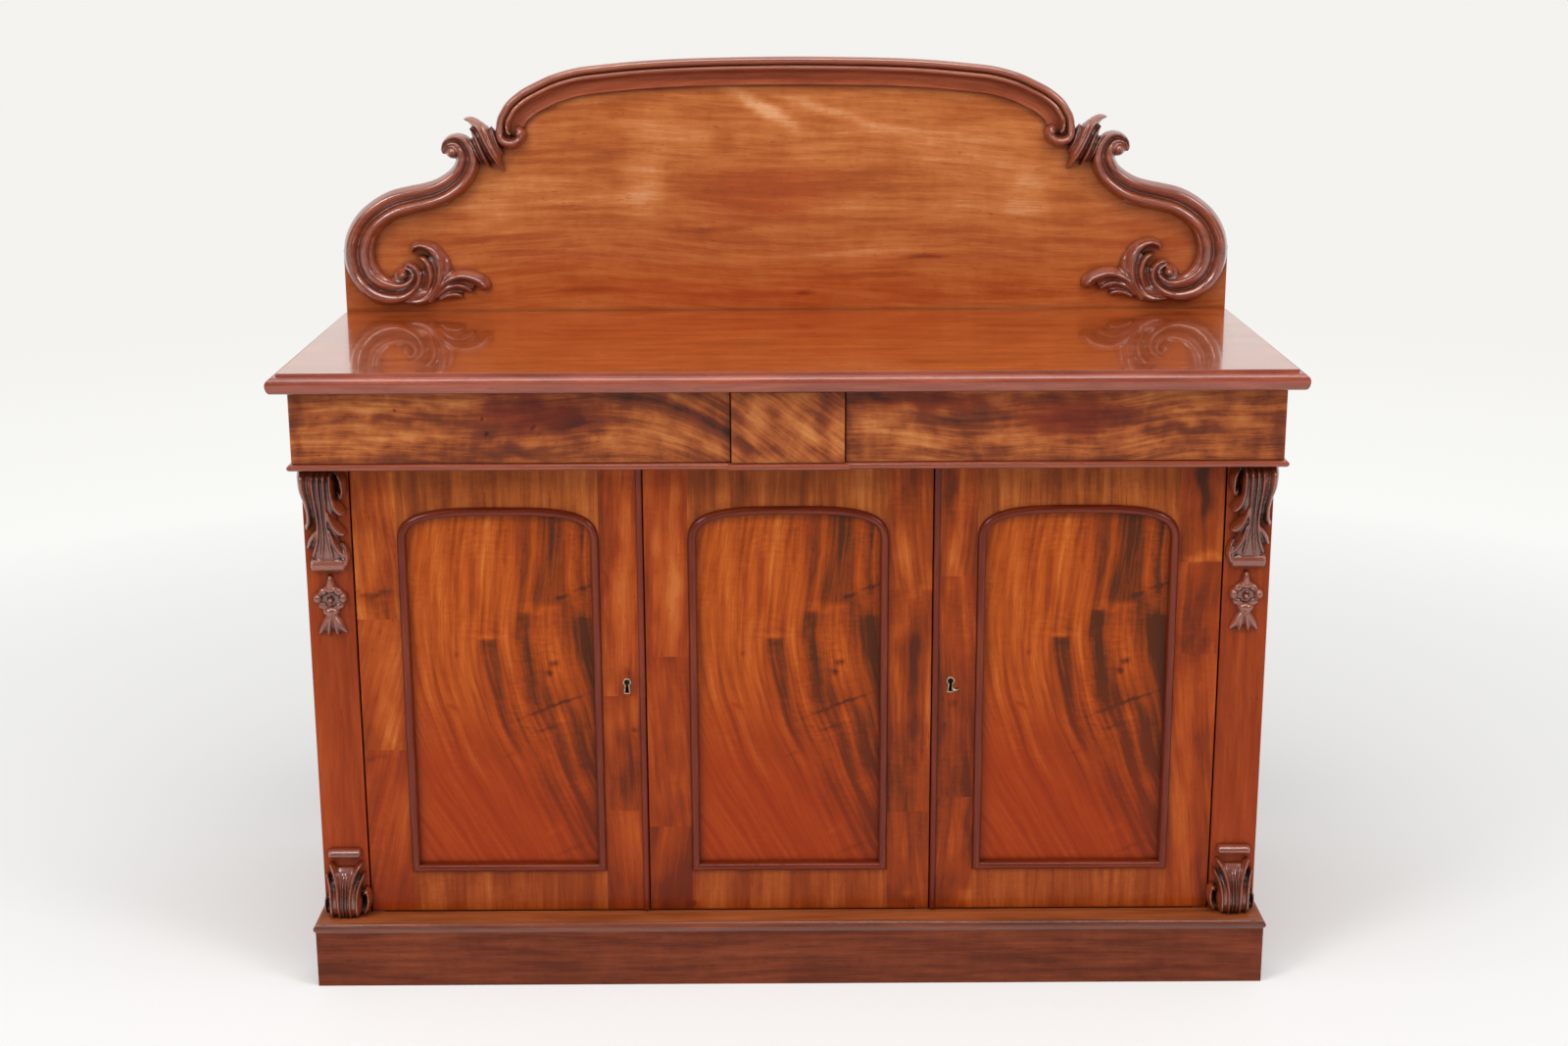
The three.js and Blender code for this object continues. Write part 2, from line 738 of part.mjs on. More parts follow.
// Carving. A strip stands out from a flat ground: its section rides along a path over the ground.
// Each row gives the path's place across and up, the strip's half width and its height there.
function strip(rows, section, steps, ground) {
  const route = new THREE.SplineCurve(rows.map(([x, z]) => new THREE.Vector2(x, z)));
  const girth = new THREE.SplineCurve(rows.map((row) => new THREE.Vector2(row[2], row[3])));
  const rings = Array.from({ length: steps + 1 }, (_, i) => {
    const place = route.getPoint(i / steps);
    const size = girth.getPoint(i / steps);
    const after = route.getPoint(Math.min(i + 0.5, steps) / steps);
    const before = route.getPoint(Math.max(i - 0.5, 0) / steps);
    const along = after.sub(before).normalize();
    return section.map(([acrossShare, heightShare]) => new THREE.Vector3(
      place.x - along.y * acrossShare * size.x,
      ground - heightShare * size.y,
      place.y + along.x * acrossShare * size.x,
    ));
  });
  return shell(rings, section.map(([u, v]) => new THREE.Vector2(u, v)));
}

// A rounded boss: half a ball squashed to the ground it stands on, as rings that close in to its top
function boss(x, z, halfWidth, halfHeight, relief, ground) {
  const levels = 4;
  const circle = roundPoints(1, 0, 2 * Math.PI, 10).slice(0, -1);
  const rings = Array.from({ length: levels + 1 }, (_, i) => {
    const angle = (Math.PI / 2) * (i / (levels + 0.5));
    return circle.map(([acrossShare, upShare]) => new THREE.Vector3(
      x + halfWidth * acrossShare * Math.cos(angle),
      ground - relief * Math.sin(angle),
      z + halfHeight * upShare * Math.cos(angle),
    ));
  });
  return shell(rings, circle.map(([u, v]) => new THREE.Vector2(u, v)));
}

// How many steps each kind of strip takes along its path
const scrollSteps = 38;
const archStripSteps = 40;
const knotSteps = 10;
const leafSteps = 6;
const ornamentSteps = 14;
const lobeSteps = 5;

// Sections of the carving, each as pairs of shares across and of height
const twoRollShares = [
  [-1, 0], [-1, 0.35], [-0.82, 0.85], [-0.48, 1], [-0.1, 0.5],
  [0.1, 0.5], [0.48, 1], [0.82, 0.85], [1, 0.35], [1, 0],
];
const bladeShares = [[-1, 0], [-0.62, 0.65], [0, 1], [0.62, 0.65], [1, 0]];
const flutedShares = [
  [-1, 0], [-1, 0.7], [-0.8, 0.9], [-0.55, 0.78], [-0.3, 1], [0, 0.82],
  [0.3, 1], [0.55, 0.78], [0.8, 0.9], [1, 0.7], [1, 0],
];
const archSectionShares = [
  [0, 0], [0, 0.55], [-0.06, 0.93], [-0.19, 0.93], [-0.26, 0.45], [-0.32, 0.8],
  [-0.42, 0.75], [-0.5, 0.4], [-0.72, 0.28], [-0.93, 0.4], [-1, 0],
];

// Rows of shares become rows of lengths: over the splashback, on the left side of the piece
function splashRows(rowShares, halfWidth, relief) {
  return rowShares.map(([across, up, width, height]) => [
    -splashHalfWidth * across,
    topHeight + splashHeight * up,
    halfWidth * width,
    relief * height,
  ]);
}

// Splashback board, cut to the outline of the carving that is planted on it
const boardEdgeShares = [
  [1, 0.249], [0.971, 0.377], [0.889, 0.47], [0.785, 0.512], [0.734, 0.6], [0.713, 0.653],
  [0.649, 0.706], [0.639, 0.76], [0.607, 0.839], [0.556, 0.894], [0.429, 0.957], [0.237, 0.982], [0, 0.989],
];
function splashBoard() {
  const points = boardEdgeShares.map(([x, z]) => new THREE.Vector2(splashHalfWidth * x, splashHeight * z));
  const edge = new THREE.SplineCurve(points).getPoints(boardEdgeShares.length * 3);
  const right = edge.map(({ x, y }) => [x, topHeight + y]);
  const left = right.slice(0, -1).reverse().map(([x, z]) => [-x, z]);
  const outline = [[-splashHalfWidth, topHeight], [splashHalfWidth, topHeight], ...right, ...left];
  return plate(outline, splashFront, back);
}
add(chiffonier, "splashback_board", splashBoard(), veneer);

// The S scroll with its volute and leaf at the foot
const scrollPathShares = [
  [0.743, 0.676, 0.15, 0.5], [0.713, 0.641, 0.6, 0.8], [0.71, 0.59, 0.8, 0.95], [0.743, 0.512, 0.86, 1],
  [0.803, 0.462, 0.9, 1], [0.876, 0.431, 0.92, 1], [0.93, 0.372, 0.92, 1], [0.963, 0.28, 1, 1],
  [0.962, 0.18, 1, 1], [0.93, 0.101, 1, 1], [0.877, 0.079, 0.8, 0.9], [0.842, 0.115, 0.48, 0.85],
  [0.843, 0.168, 0.35, 0.8],
];
const scrollEyeShares = [[0.743, 0.636, 1, 1.05], [0.866, 0.15, 1, 1.05]];
const scrollDiscShare = { across: 0.866, up: 0.135, width: 1.1, height: 0.55 };
const leafPathShares = [
  [[0.844, 0.257, 0.3, 0.5], [0.8, 0.249, 1, 1], [0.781, 0.169, 1, 1], [0.804, 0.067, 0.9, 0.8],
    [0.862, 0.034, 0.6, 0.5]],
  [[0.829, 0.216, 0.3, 0.5], [0.804, 0.173, 0.8, 1.1], [0.8, 0.12, 0.8, 1.1], [0.812, 0.07, 0.4, 0.6]],
  [[0.776, 0.235, 0.3, 0.4], [0.766, 0.17, 0.7, 0.8], [0.784, 0.09, 0.9, 0.8]],
  [[0.812, 0.045, 0.8, 0.8], [0.774, 0.105, 0.8, 1], [0.725, 0.14, 0.8, 1], [0.676, 0.085, 0.2, 0.5]],
  [[0.8, 0.04, 0.8, 0.8], [0.757, 0.075, 0.9, 0.9], [0.714, 0.075, 0.4, 0.6]],
];

function scrollCarving(margin) {
  const body = splashRows(scrollPathShares, scrollHalfWidth + margin, scrollRelief + margin);
  const pieces = [strip(body, twoRollShares, scrollSteps, carvingBack)];
  for (const row of splashRows(scrollEyeShares, eyeRadius + margin, scrollRelief + margin)) {
    const [x, z, radius, relief] = row;
    pieces.push(boss(x, z, radius, radius, relief, carvingBack));
  }
  const { across, up, width, height } = scrollDiscShare;
  const discRadius = scrollHalfWidth * width;
  const [discX, discZ] = [-splashHalfWidth * across, topHeight + splashHeight * up];
  pieces.push(boss(discX, discZ, discRadius, discRadius, scrollRelief * height, carvingBack));
  for (const rows of leafPathShares) {
    pieces.push(strip(splashRows(rows, leafHalfWidth, leafRelief), bladeShares, leafSteps, carvingBack));
  }
  return join(...pieces);
}

// The arch moulding: two beads and a hollow, ending in a volute at each springing
const archPathShares = [
  [0.645, 0.694, 1, 1], [0.644, 0.743, 1, 1], [0.633, 0.795, 1, 1], [0.607, 0.85, 1, 1], [0.555, 0.905, 1, 1],
  [0.491, 0.948, 1, 1], [0.427, 0.968, 1, 1], [0.33, 0.984, 1, 1], [0.236, 0.993, 1, 1], [0.12, 0.998, 1, 1],
];
function archCarving(margin) {
  const left = splashRows(archPathShares, archMouldingWidth, archMouldingRelief + margin);
  const crown = [0, topHeight + splashHeight, archMouldingWidth, archMouldingRelief + margin];
  const right = left.map(([x, ...rest]) => [-x, ...rest]).reverse();
  const pieces = [strip([...left, crown, ...right], archSectionShares, archStripSteps, carvingBack)];
  const [springX, springZ] = left[0];
  const reach = voluteRadius + margin;
  for (const side of [-1, 1]) {
    const x = side * (-springX - voluteRadius);
    const lift = springZ + margin;
    pieces.push(boss(x, lift, reach, reach * voluteShares.squash, archMouldingRelief + margin, carvingBack));
    const eye = eyeRadius * voluteShares.eye;
    const eyeRelief = archMouldingRelief + eyeRadius * voluteShares.eyeRise;
    pieces.push(boss(x, springZ, eye, eye, eyeRelief, carvingBack));
  }
  return join(...pieces);
}

// The twisted leaf that ties arch and scroll together
const knotPathShares = [
  [[0.703, 0.75, 0.4, 0.6], [0.68, 0.715, 1, 1], [0.664, 0.665, 1.1, 1.1], [0.648, 0.61, 0.9, 1],
    [0.631, 0.562, 0.2, 0.5]],
  [[0.69, 0.7, 0.6, 0.8], [0.676, 0.63, 1, 1], [0.658, 0.575, 0.4, 0.6]],
];
function knotLeaf() {
  const halfWidth = leafHalfWidth * knotLeafShares.width;
  const relief = leafRelief * knotLeafShares.height;
  const blades = knotPathShares.map((rows) =>
    strip(splashRows(rows, halfWidth, relief), bladeShares, knotSteps, carvingBack));
  const whole = cut(join(...blades), scrollCarving(carvingFitGap), archCarving(carvingFitGap));
  const parts = solid(whole).decompose();
  return surface(parts.reduce((a, b) => (b.volume() > a.volume() ? b : a)));
}

add(chiffonier, "arch_moulding", archCarving(0), dark);
const scroll = scrollCarving(0);
const knot = knotLeaf();
add(chiffonier, "scroll_left", scroll, dark);
add(chiffonier, "scroll_right", mirrored(scroll), dark);
add(chiffonier, "knot_leaf_left", knot, dark);
add(chiffonier, "knot_leaf_right", mirrored(knot), dark);

// Pilasters and the carving planted on them, drawn for the left one
const pilasterMiddle = -(carcaseHalfWidth + pilasterEdge) / 2;
const corbelHead = beadBottom - glueGap;
const corbelFoot = corbelHead - corbelHeight;
const dropHead = corbelFoot - barHeight - dropGap;
const footTop = plinthHeight + glueGap + footHeight;

// Rows of shares become rows of lengths: over one ornament, from its foot up
function ornamentRows(rowShares, foot, height, halfWidth, relief) {
  return rowShares.map(([across, up, width, rise]) => [
    pilasterMiddle + across * halfWidth,
    foot + up * height,
    width * halfWidth,
    rise * relief,
  ]);
}

function halfRoundBar(foot) {
  const round = roundPoints(1, -Math.PI / 2, Math.PI / 2, 8).map(([outShare, upShare]) => [
    pilasterCarvingBack - barProjection * outShare,
    foot + (barHeight / 2) * (1 + upShare),
  ]);
  return bar(round, pilasterMiddle - barHalfWidth, pilasterMiddle + barHalfWidth);
}

const corbelShares = [
  [0, 0, 0.82, 0.32], [0, 0.2, 0.62, 0.36], [0, 0.4, 0.6, 0.5], [-0.05, 0.6, 0.78, 0.7],
  [-0.1, 0.8, 0.9, 0.92], [-0.1, 0.93, 0.9, 1], [-0.1, 1, 0.88, 0.9],
];
const corbelLobeShares = [
  [[0, 0.7, 0.2, 0.6], [0.5, 0.5, 0.3, 0.6], [1.05, 0.46, 0.1, 0.3]],
  [[0, 0.45, 0.2, 0.5], [0.5, 0.3, 0.3, 0.5], [1, 0.24, 0.1, 0.3]],
  [[-0.4, 0.6, 0.2, 0.6], [-0.8, 0.42, 0.22, 0.5], [-0.95, 0.3, 0.1, 0.2]],
  [[0.5, 0.95, 0.3, 0.8], [1, 0.82, 0.2, 0.7], [0.8, 0.7, 0.2, 0.7]],
];
function corbel() {
  const sizes = [corbelFoot, corbelHeight, corbelHalfWidth, corbelProjection];
  const body = strip(ornamentRows(corbelShares, ...sizes), flutedShares, ornamentSteps, pilasterCarvingBack);
  const lobes = corbelLobeShares.map((rows) =>
    strip(ornamentRows(rows, ...sizes), bladeShares, lobeSteps, pilasterCarvingBack));
  const ledge = block(
    pilasterMiddle - corbelHalfWidth, pilasterMiddle + corbelHalfWidth,
    pilasterCarvingBack - carvedGround, pilasterCarvingBack, corbelFoot - barHeight / 2, corbelHead,
  );
  return join(halfRoundBar(corbelFoot - barHeight), body, ledge, ...lobes);
}

const petalShares = [
  [0, 0.78, 1.1, 0.8], [-0.78, 0.63, 1, 0.8], [0.8, 0.63, 1, 0.8], [0, 0.59, 0.7, 1], [0, 0.41, 1.5, 0.9],
];
const sprayShares = [
  [[0, 0.4, 0.3, 0.8], [-0.35, 0.2, 0.3, 0.8], [-0.85, 0.04, 0.1, 0.3]],
  [[0, 0.4, 0.3, 0.8], [0, 0.2, 0.3, 1], [0, 0.02, 0.1, 0.3]],
  [[0, 0.4, 0.3, 0.8], [0.35, 0.2, 0.3, 0.8], [0.95, 0.06, 0.1, 0.3]],
  [[0, 1, 0.12, 0.5], [0, 0.9, 0.22, 0.7], [0, 0.7, 0.5, 0.7], [0, 0.45, 0.6, 0.7]],
];
const petalLinkShares = { across: 0.4, up: 0.63 };
function flowerDrop() {
  const foot = dropHead - dropHeight;
  const petals = petalShares.map(([across, up, width, rise]) => boss(
    pilasterMiddle + across * dropHalfWidth, foot + up * dropHeight,
    width * petalRadius, petalRadius, rise * dropRelief, pilasterCarvingBack,
  ));
  const sizes = [foot, dropHeight, dropHalfWidth, dropRelief];
  const spray = sprayShares.map((rows) =>
    strip(ornamentRows(rows, ...sizes), bladeShares, lobeSteps, pilasterCarvingBack));
  const links = [-1, 1].map((side) => boss(
    pilasterMiddle + side * dropHalfWidth * petalLinkShares.across, foot + dropHeight * petalLinkShares.up,
    petalRadius, petalRadius / 2, dropRelief / 2, pilasterCarvingBack,
  ));
  return join(...spray, ...petals, ...links);
}

const footShares = [
  [0, 0, 0.8, 0.6], [0, 0.08, 0.94, 0.92], [0, 0.25, 1, 1], [0, 0.5, 0.92, 0.72],
  [0, 0.8, 0.8, 0.45], [0, 1, 0.78, 0.38],
];
function footScroll() {
  const sizes = [plinthHeight + glueGap, footHeight, footHalfWidth, footProjection];
  const body = strip(ornamentRows(footShares, ...sizes), flutedShares, ornamentSteps, pilasterCarvingBack);
  const backing = block(
    pilasterMiddle - barHalfWidth, pilasterMiddle + barHalfWidth, pilasterCarvingBack - carvedGround,
    pilasterCarvingBack, footTop - barHeight, footTop + barHeight / 2,
  );
  return join(body, backing, halfRoundBar(footTop));
}

const pilaster = block(-carcaseHalfWidth, -pilasterEdge, cupboardFront, doorBack, plinthHeight, beadBottom);
const pilasterPieces = [
  ["pilaster", pilaster, polished],
  ["corbel", corbel(), dark],
  ["flower_drop", flowerDrop(), dark],
  ["foot_scroll", footScroll(), dark],
];
for (const [name, geometry, material] of pilasterPieces) {
  add(chiffonier, `${name}_left`, geometry, material);
  add(chiffonier, `${name}_right`, mirrored(geometry), material);
}

export default chiffonier;
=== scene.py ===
# Chiffonier in polished mahogany: a cupboard with three doors, three frieze drawers and a carved splashback.
# Metres, +Z up, the front faces -Y. Each section makes one piece or group of like pieces, in the order of
# assembly.
import math

import bmesh
import bpy
import numpy as np
from mathutils import Matrix, Vector


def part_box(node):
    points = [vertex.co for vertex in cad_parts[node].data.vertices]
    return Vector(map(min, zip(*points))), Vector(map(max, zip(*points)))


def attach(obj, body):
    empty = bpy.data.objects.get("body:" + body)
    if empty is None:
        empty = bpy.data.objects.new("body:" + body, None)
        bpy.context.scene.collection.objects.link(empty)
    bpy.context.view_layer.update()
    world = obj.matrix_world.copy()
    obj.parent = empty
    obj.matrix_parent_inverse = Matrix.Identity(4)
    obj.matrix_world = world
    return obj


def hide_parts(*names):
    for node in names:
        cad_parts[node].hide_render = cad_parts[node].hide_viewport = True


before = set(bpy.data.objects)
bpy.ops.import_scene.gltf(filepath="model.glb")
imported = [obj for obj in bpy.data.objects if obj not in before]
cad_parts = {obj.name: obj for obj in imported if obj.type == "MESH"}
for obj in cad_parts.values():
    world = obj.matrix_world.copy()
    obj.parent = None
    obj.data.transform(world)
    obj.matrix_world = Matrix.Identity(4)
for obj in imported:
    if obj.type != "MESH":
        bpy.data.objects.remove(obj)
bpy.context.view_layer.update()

# Viewpoint: standing height, a little left of the middle, looking down at the piece.
# The frame of the picture is 1600 by 1067 pixels.
eye_place = Vector((-0.0142, -3.3328, 1.5075))
eye_turn, eye_drop, eye_roll = math.radians(0.15), math.radians(14.57), math.radians(0.23)
focal_pixels, frame_pixels, sensor_width = 2281.67, 1600, 36.0

eye = bpy.data.objects.new("viewpoint", bpy.data.cameras.new("viewpoint"))
bpy.context.scene.collection.objects.link(eye)
eye.data.sensor_width = sensor_width
eye.data.lens = focal_pixels / frame_pixels * sensor_width
level = Vector((math.cos(eye_turn), -math.sin(eye_turn), 0))
ahead = Vector((math.sin(eye_turn), math.cos(eye_turn), 0))
look = ahead * math.cos(eye_drop) - Vector((0, 0, math.sin(eye_drop)))
below = look.cross(level)
rightward = level * math.cos(eye_roll) + below * math.sin(eye_roll)
downward = below * math.cos(eye_roll) - level * math.sin(eye_roll)
eye.matrix_world = Matrix.Translation(eye_place) @ Matrix((rightward, -downward, -look)).transposed().to_4x4()
bpy.context.scene.camera = eye
bpy.context.scene.view_settings.view_transform = "Standard"

# Room: a wide pale floor that stays white to the eye and in reflections but takes the soft shadow,
# a plain white world that is dim behind the viewer, and three soft lamps.
floor_reach, floor_glow, floor_matt = 40.0, 1.0, 0.8
floor_near, floor_far, floor_paint = (1.0, 1.0, 0.985), (0.9, 0.892, 0.861), (0.92, 0.92, 0.91)
floor_fade, floor_soft = (0.6, 6.0), (1.0, 3.0)
world_glow, world_dim, world_turn = 0.55, 0.22, (-0.4, 0.5)
lamp_aim = Vector((0, 0, 0.65))
lamps = (
    ("lamp_left", (-2.6, -2.6, 3.2), (1.4, 1.4), 56),
    ("lamp_right", (2.8, -2.2, 3.0), (1.2, 1.2), 38),
    ("lamp_over", (0.0, -0.9, 3.6), (3.0, 1.3), 54),
)


class Bench:
    """Lays out one material's nodes. Each method adds a node and gives back its output."""

    def __init__(self, owner):
        owner.use_nodes = True
        self.tree = owner.node_tree

    def node(self, kind, sockets=None, **settings):
        """A node of one kind, its settings, and what goes into its sockets: another output or a value."""
        made = self.tree.nodes.new(kind)
        for setting, value in settings.items():
            setattr(made, setting, value)
        for socket, value in (sockets or {}).items():
            self.feed(made.inputs[socket], value)
        return made

    def feed(self, socket, value):
        if isinstance(value, bpy.types.NodeSocket):
            self.tree.links.new(value, socket)
        else:
            socket.default_value = value

    def sum(self, operation, first, second=0.0):
        """One operation, named as in the shader editor, on two numbers."""
        return self.node("ShaderNodeMath", {0: first, 1: second}, operation=operation).outputs[0]

    def vector(self, operation, first, second):
        """One operation, named as in the shader editor, on two vectors."""
        return self.node("ShaderNodeVectorMath", {0: first, 1: second}, operation=operation).outputs[0]

    def noise(self, vector, scale, detail=2.0, rough=0.5):
        """Soft noise around one half, finer with its scale."""
        sockets = {"Vector": vector, "Scale": scale, "Detail": detail, "Roughness": rough}
        return self.node("ShaderNodeTexNoise", sockets).outputs["Fac"]

    def ranged(self, value, low, high, start=0.0, end=1.0):
        """A value's run from low to high, turned into a run from start to end and held there beyond it."""
        sockets = {"Value": value, "From Min": low, "From Max": high, "To Min": start, "To Max": end}
        return self.node("ShaderNodeMapRange", sockets).outputs[0]

    def blend(self, share, first, second):
        """The first colour with a share of the second laid over it."""
        made = self.node("ShaderNodeMix", data_type="RGBA")
        for socket, value in ((0, share), (6, first), (7, second)):
            self.feed(made.inputs[socket], value)
        return made.outputs[2]

    def tones(self, value, places, codes):
        """A run of colours, each at its place between 0 and 1."""
        made = self.node("ShaderNodeValToRGB", {0: value})
        stops = made.color_ramp.elements
        stops.remove(stops[1])
        for number, (place, code) in enumerate(zip(places, codes)):
            stop = stops.new(place) if number else stops[0]
            stop.position, stop.color = place, tint(code)
        return made.outputs[0]


def tint(code):
    """A colour written as six hex digits, turned from screen values into the linear ones of a shader."""
    values = np.array([int(code[i:i + 2], 16) for i in (1, 3, 5)]) / 255
    linear = np.where(values <= 0.04045, values / 12.92, ((values + 0.055) / 1.055) ** 2.4)
    return (*linear.tolist(), 1.0)


def seen_rays(bench):
    """1 for rays that come straight from the eye, off a gloss or through glass, else 0."""
    path = bench.node("ShaderNodeLightPath").outputs
    seen = bench.sum("MAXIMUM", path["Is Camera Ray"], path["Is Glossy Ray"])
    return bench.sum("MAXIMUM", seen, path["Is Transmission Ray"])


def floor_finish():
    """To the eye the floor glows in a colour that fades with the distance from the piece, mixed near it with
    plain paint that takes the shadow. To the light it is plain paint all over."""
    material = bpy.data.materials.new("pale_floor")
    bench = Bench(material)
    place = bench.node("ShaderNodeTexCoord").outputs["Object"]
    away = bench.node("ShaderNodeVectorMath", {0: place}, operation="LENGTH").outputs["Value"]
    color = bench.blend(bench.ranged(away, *floor_fade), (*floor_near, 1), (*floor_far, 1))
    glow = bench.node("ShaderNodeEmission", {"Color": color, "Strength": floor_glow}).outputs[0]
    matt = bench.node("ShaderNodeBsdfDiffuse", {"Color": (*floor_paint, 1)}).outputs[0]
    keep = bench.ranged(away, *floor_soft, floor_matt, 0.0)
    soft = bench.node("ShaderNodeMixShader", {0: keep, 1: glow, 2: matt}).outputs[0]
    whole = bench.node("ShaderNodeMixShader", {0: seen_rays(bench), 1: matt, 2: soft}).outputs[0]
    bench.feed(bench.tree.nodes["Material Output"].inputs["Surface"], whole)
    return material


def room():
    """The floor's one face, the world as each kind of ray sees it, and the lamps, turned to what they aim
    at."""
    mesh = bpy.data.meshes.new("floor")
    ends = (-floor_reach, floor_reach)
    mesh.from_pydata([(x, y, 0) for y in ends for x in ends], [], [(0, 1, 3, 2)])
    mesh.materials.append(floor_finish())
    floor = bpy.data.objects.new("floor", mesh)
    bpy.context.scene.collection.objects.link(floor)

    world = bpy.data.worlds.new("room")
    bpy.context.scene.world = world
    bench = Bench(world)
    ray = bench.node("ShaderNodeTexCoord").outputs["Generated"]
    toward = bench.node("ShaderNodeSeparateXYZ", {0: ray}).outputs["Y"]
    side = bench.ranged(toward, *world_turn, world_dim, 1.0)
    direct = bench.node("ShaderNodeLightPath").outputs["Is Camera Ray"]
    shown = bench.sum("MAXIMUM", direct, bench.sum("MULTIPLY", seen_rays(bench), side))
    light = bench.node("ShaderNodeBackground", {"Strength": world_glow}).outputs[0]
    wall = bench.node("ShaderNodeBackground", {"Color": (*floor_far, 1), "Strength": shown}).outputs[0]
    sky = bench.node("ShaderNodeMixShader", {0: seen_rays(bench), 1: light, 2: wall}).outputs[0]
    bench.feed(bench.tree.nodes["World Output"].inputs["Surface"], sky)

    for name, place, size, power in lamps:
        lamp = bpy.data.lights.new(name, "AREA")
        lamp.shape, lamp.size, lamp.size_y, lamp.energy = "RECTANGLE", *size, power
        held = bpy.data.objects.new(name, lamp)
        held.location = place
        held.rotation_mode = "QUATERNION"
        held.rotation_quaternion = (lamp_aim - Vector(place)).to_track_quat("-Z", "Y")
        bpy.context.scene.collection.objects.link(held)


room()

# Plinth: a frame of mahogany boards, mitred at the corners, painted darker than the rest as shade where it
# stands low.
# A moulding is planted round its upper edge, and the ledge behind that carries the carcase.
plinth_low, plinth_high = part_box("plinth")
plinth_edge_height, plinth_edge_proud, plinth_wall = 0.014, 0.003, 0.022
plinth_quirk, plinth_swell_share, plinth_fillet = 0.0008, 0.8, ((0.0006, 0.001), (0.002, 0.0))
plinth_ledge_front, plinth_ledge_side = 0.09, 0.06
# Painted shade: the face tones are darker than the rest for the low light near the floor, and the ledge's
# tones a little less dark.
plinth_shaded_tones = ("#3a1a0f", "#652c18", "#7e3b20", "#964b29")
plinth_ledge_shaded_tones = ("#532615", "#81401f", "#9b512b", "#b06438")
tone_places, tone_gain, warm_share, fibres = (0.02, 0.4, 0.62, 0.9), 2.2, 0.75, 0.12
# Painted shade with some grime: hollows that ambient occlusion finds within this reach are darkened towards
# this colour.
grime_and_shade_reach, grime_and_shade_color, bump_depth = 0.011, "#1b0d08", 0.0006


def mahogany(name, tones, bands=0.3, streaks=0.25, mottle=0.0, along=None, pitch=28, roughness=0.3, coat=0.06,
             grime_and_shade=0.0, warm="#a5350f", polish=0.12, gloss=0.09, sway=0.022, cloud=0.0, ripple=0.0, shine=1.5):
    """Polished mahogany. Soft bands, thin streaks, fine fibres, mottle and clouds are noise, drawn out along
    its grain by the share that each layer names; ripples lie across the grain, and short dark flecks are the
    open pores. With no axis named, the grain follows the piece's own grain map. The piece's shade makes it
    lighter or darker and its warmth redder. Ambient occlusion darkens its hollows: painted shade with some
    grime."""
    material = bpy.data.materials.new(name)
    bench = Bench(material)
    shader = bench.tree.nodes["Principled BSDF"]
    if along is None:
        place = bench.node("ShaderNodeUVMap", uv_map="grain").outputs[0]
        axis = 1
    else:
        place = bench.node("ShaderNodeTexCoord").outputs["Object"]
        axis = "xyz".index(along)

    def drawn(share):
        """The place in the noise, with the way along the grain cut down to a share of itself."""
        factors = [1.0, 1.0, 1.0]
        factors[axis] = share
        return bench.vector("MULTIPLY", place, factors)

    wave = bench.node("ShaderNodeTexNoise", {"Vector": drawn(0.35), "Scale": 5.5, "Detail": 2.0})
    wave = wave.outputs["Color"]
    wave = bench.vector("MULTIPLY", bench.vector("SUBTRACT", wave, (0.5, 0.5, 0.5)), (sway, sway, sway))
    place = bench.vector("ADD", place, wave)
    tone = bench.sum("ADD", bench.node("ShaderNodeAttribute", attribute_name="shade").outputs["Fac"], 0.5)
    for weight, share, scale, detail, rough in (
        (bands, 0.16, pitch, 3, 0.55), (streaks, 0.06, 4 * pitch, 4, 0.6), (fibres, 0.03, 620, 2, 0.6),
        (mottle, 1.5, 30, 3, 0.6), (cloud, 0.5, 16, 2, 0.5),
    ):
        if weight:
            layer = bench.sum("SUBTRACT", bench.noise(drawn(share), scale, detail, rough), 0.5)
            tone = bench.sum("ADD", tone, bench.sum("MULTIPLY", layer, weight * tone_gain))
    if ripple:
        waves = bench.sum("SUBTRACT", bench.noise(drawn(3.2), 55, 3, 0.6), 0.5)
        waves = bench.sum("MULTIPLY", waves, bench.ranged(bench.noise(place, 8), 0.42, 0.62))
        tone = bench.sum("ADD", tone, bench.sum("MULTIPLY", waves, ripple * tone_gain))
    for share, scale, detail, least, depth in ((0.2, 330, 2, 0.66, 0.16), (0.05, 1500, 1, 0.64, 0.12)):
        pores = bench.ranged(bench.noise(drawn(share), scale, detail), least, 0.74)
        tone = bench.sum("SUBTRACT", tone, bench.sum("MULTIPLY", pores, depth))
    color = bench.tones(tone, tone_places, tones)
    warmth = bench.node("ShaderNodeAttribute", attribute_name="warmth").outputs["Fac"]
    color = bench.blend(warmth, color, bench.blend(warm_share, color, tint(warm)))
    # Painted shade with some grime: where ambient occlusion finds a hollow, the colour is darkened.
    if grime_and_shade:
        hollow = bench.node("ShaderNodeAmbientOcclusion", {"Distance": grime_and_shade_reach}, samples=6).outputs["AO"]
        color = bench.blend(bench.ranged(hollow, 0.25, 0.85, grime_and_shade, 0.0), color, tint(grime_and_shade_color))
    worn = bench.sum("MULTIPLY", bench.noise(place, 9, 3, 0.6), 0.12)
    height = bench.sum("ADD", bench.sum("MULTIPLY", pores, -0.5), bench.noise(place, 14, 2, 0.5))
    relief = {"Strength": 0.25, "Distance": bump_depth, "Height": height}
    bump = bench.node("ShaderNodeBump", relief).outputs[0]
    for socket, value in (
        ("Base Color", color), ("Roughness", bench.sum("ADD", roughness - 0.06, worn)),
        ("Specular IOR Level", polish), ("Coat Weight", coat), ("Coat Roughness", gloss), ("Coat IOR", shine),
        ("Normal", bump), ("Coat Normal", bump),
    ):
        bench.feed(shader.inputs[socket], value)
    return material


def run(first, last, count):
    """Values at equal steps from the first to the last."""
    return np.linspace(first, last, count)


def walked(line):
    """Distance along a line of points, from its first point to each."""
    return np.concatenate([[0], np.cumsum(np.linalg.norm(np.diff(line, axis=0), axis=1))])


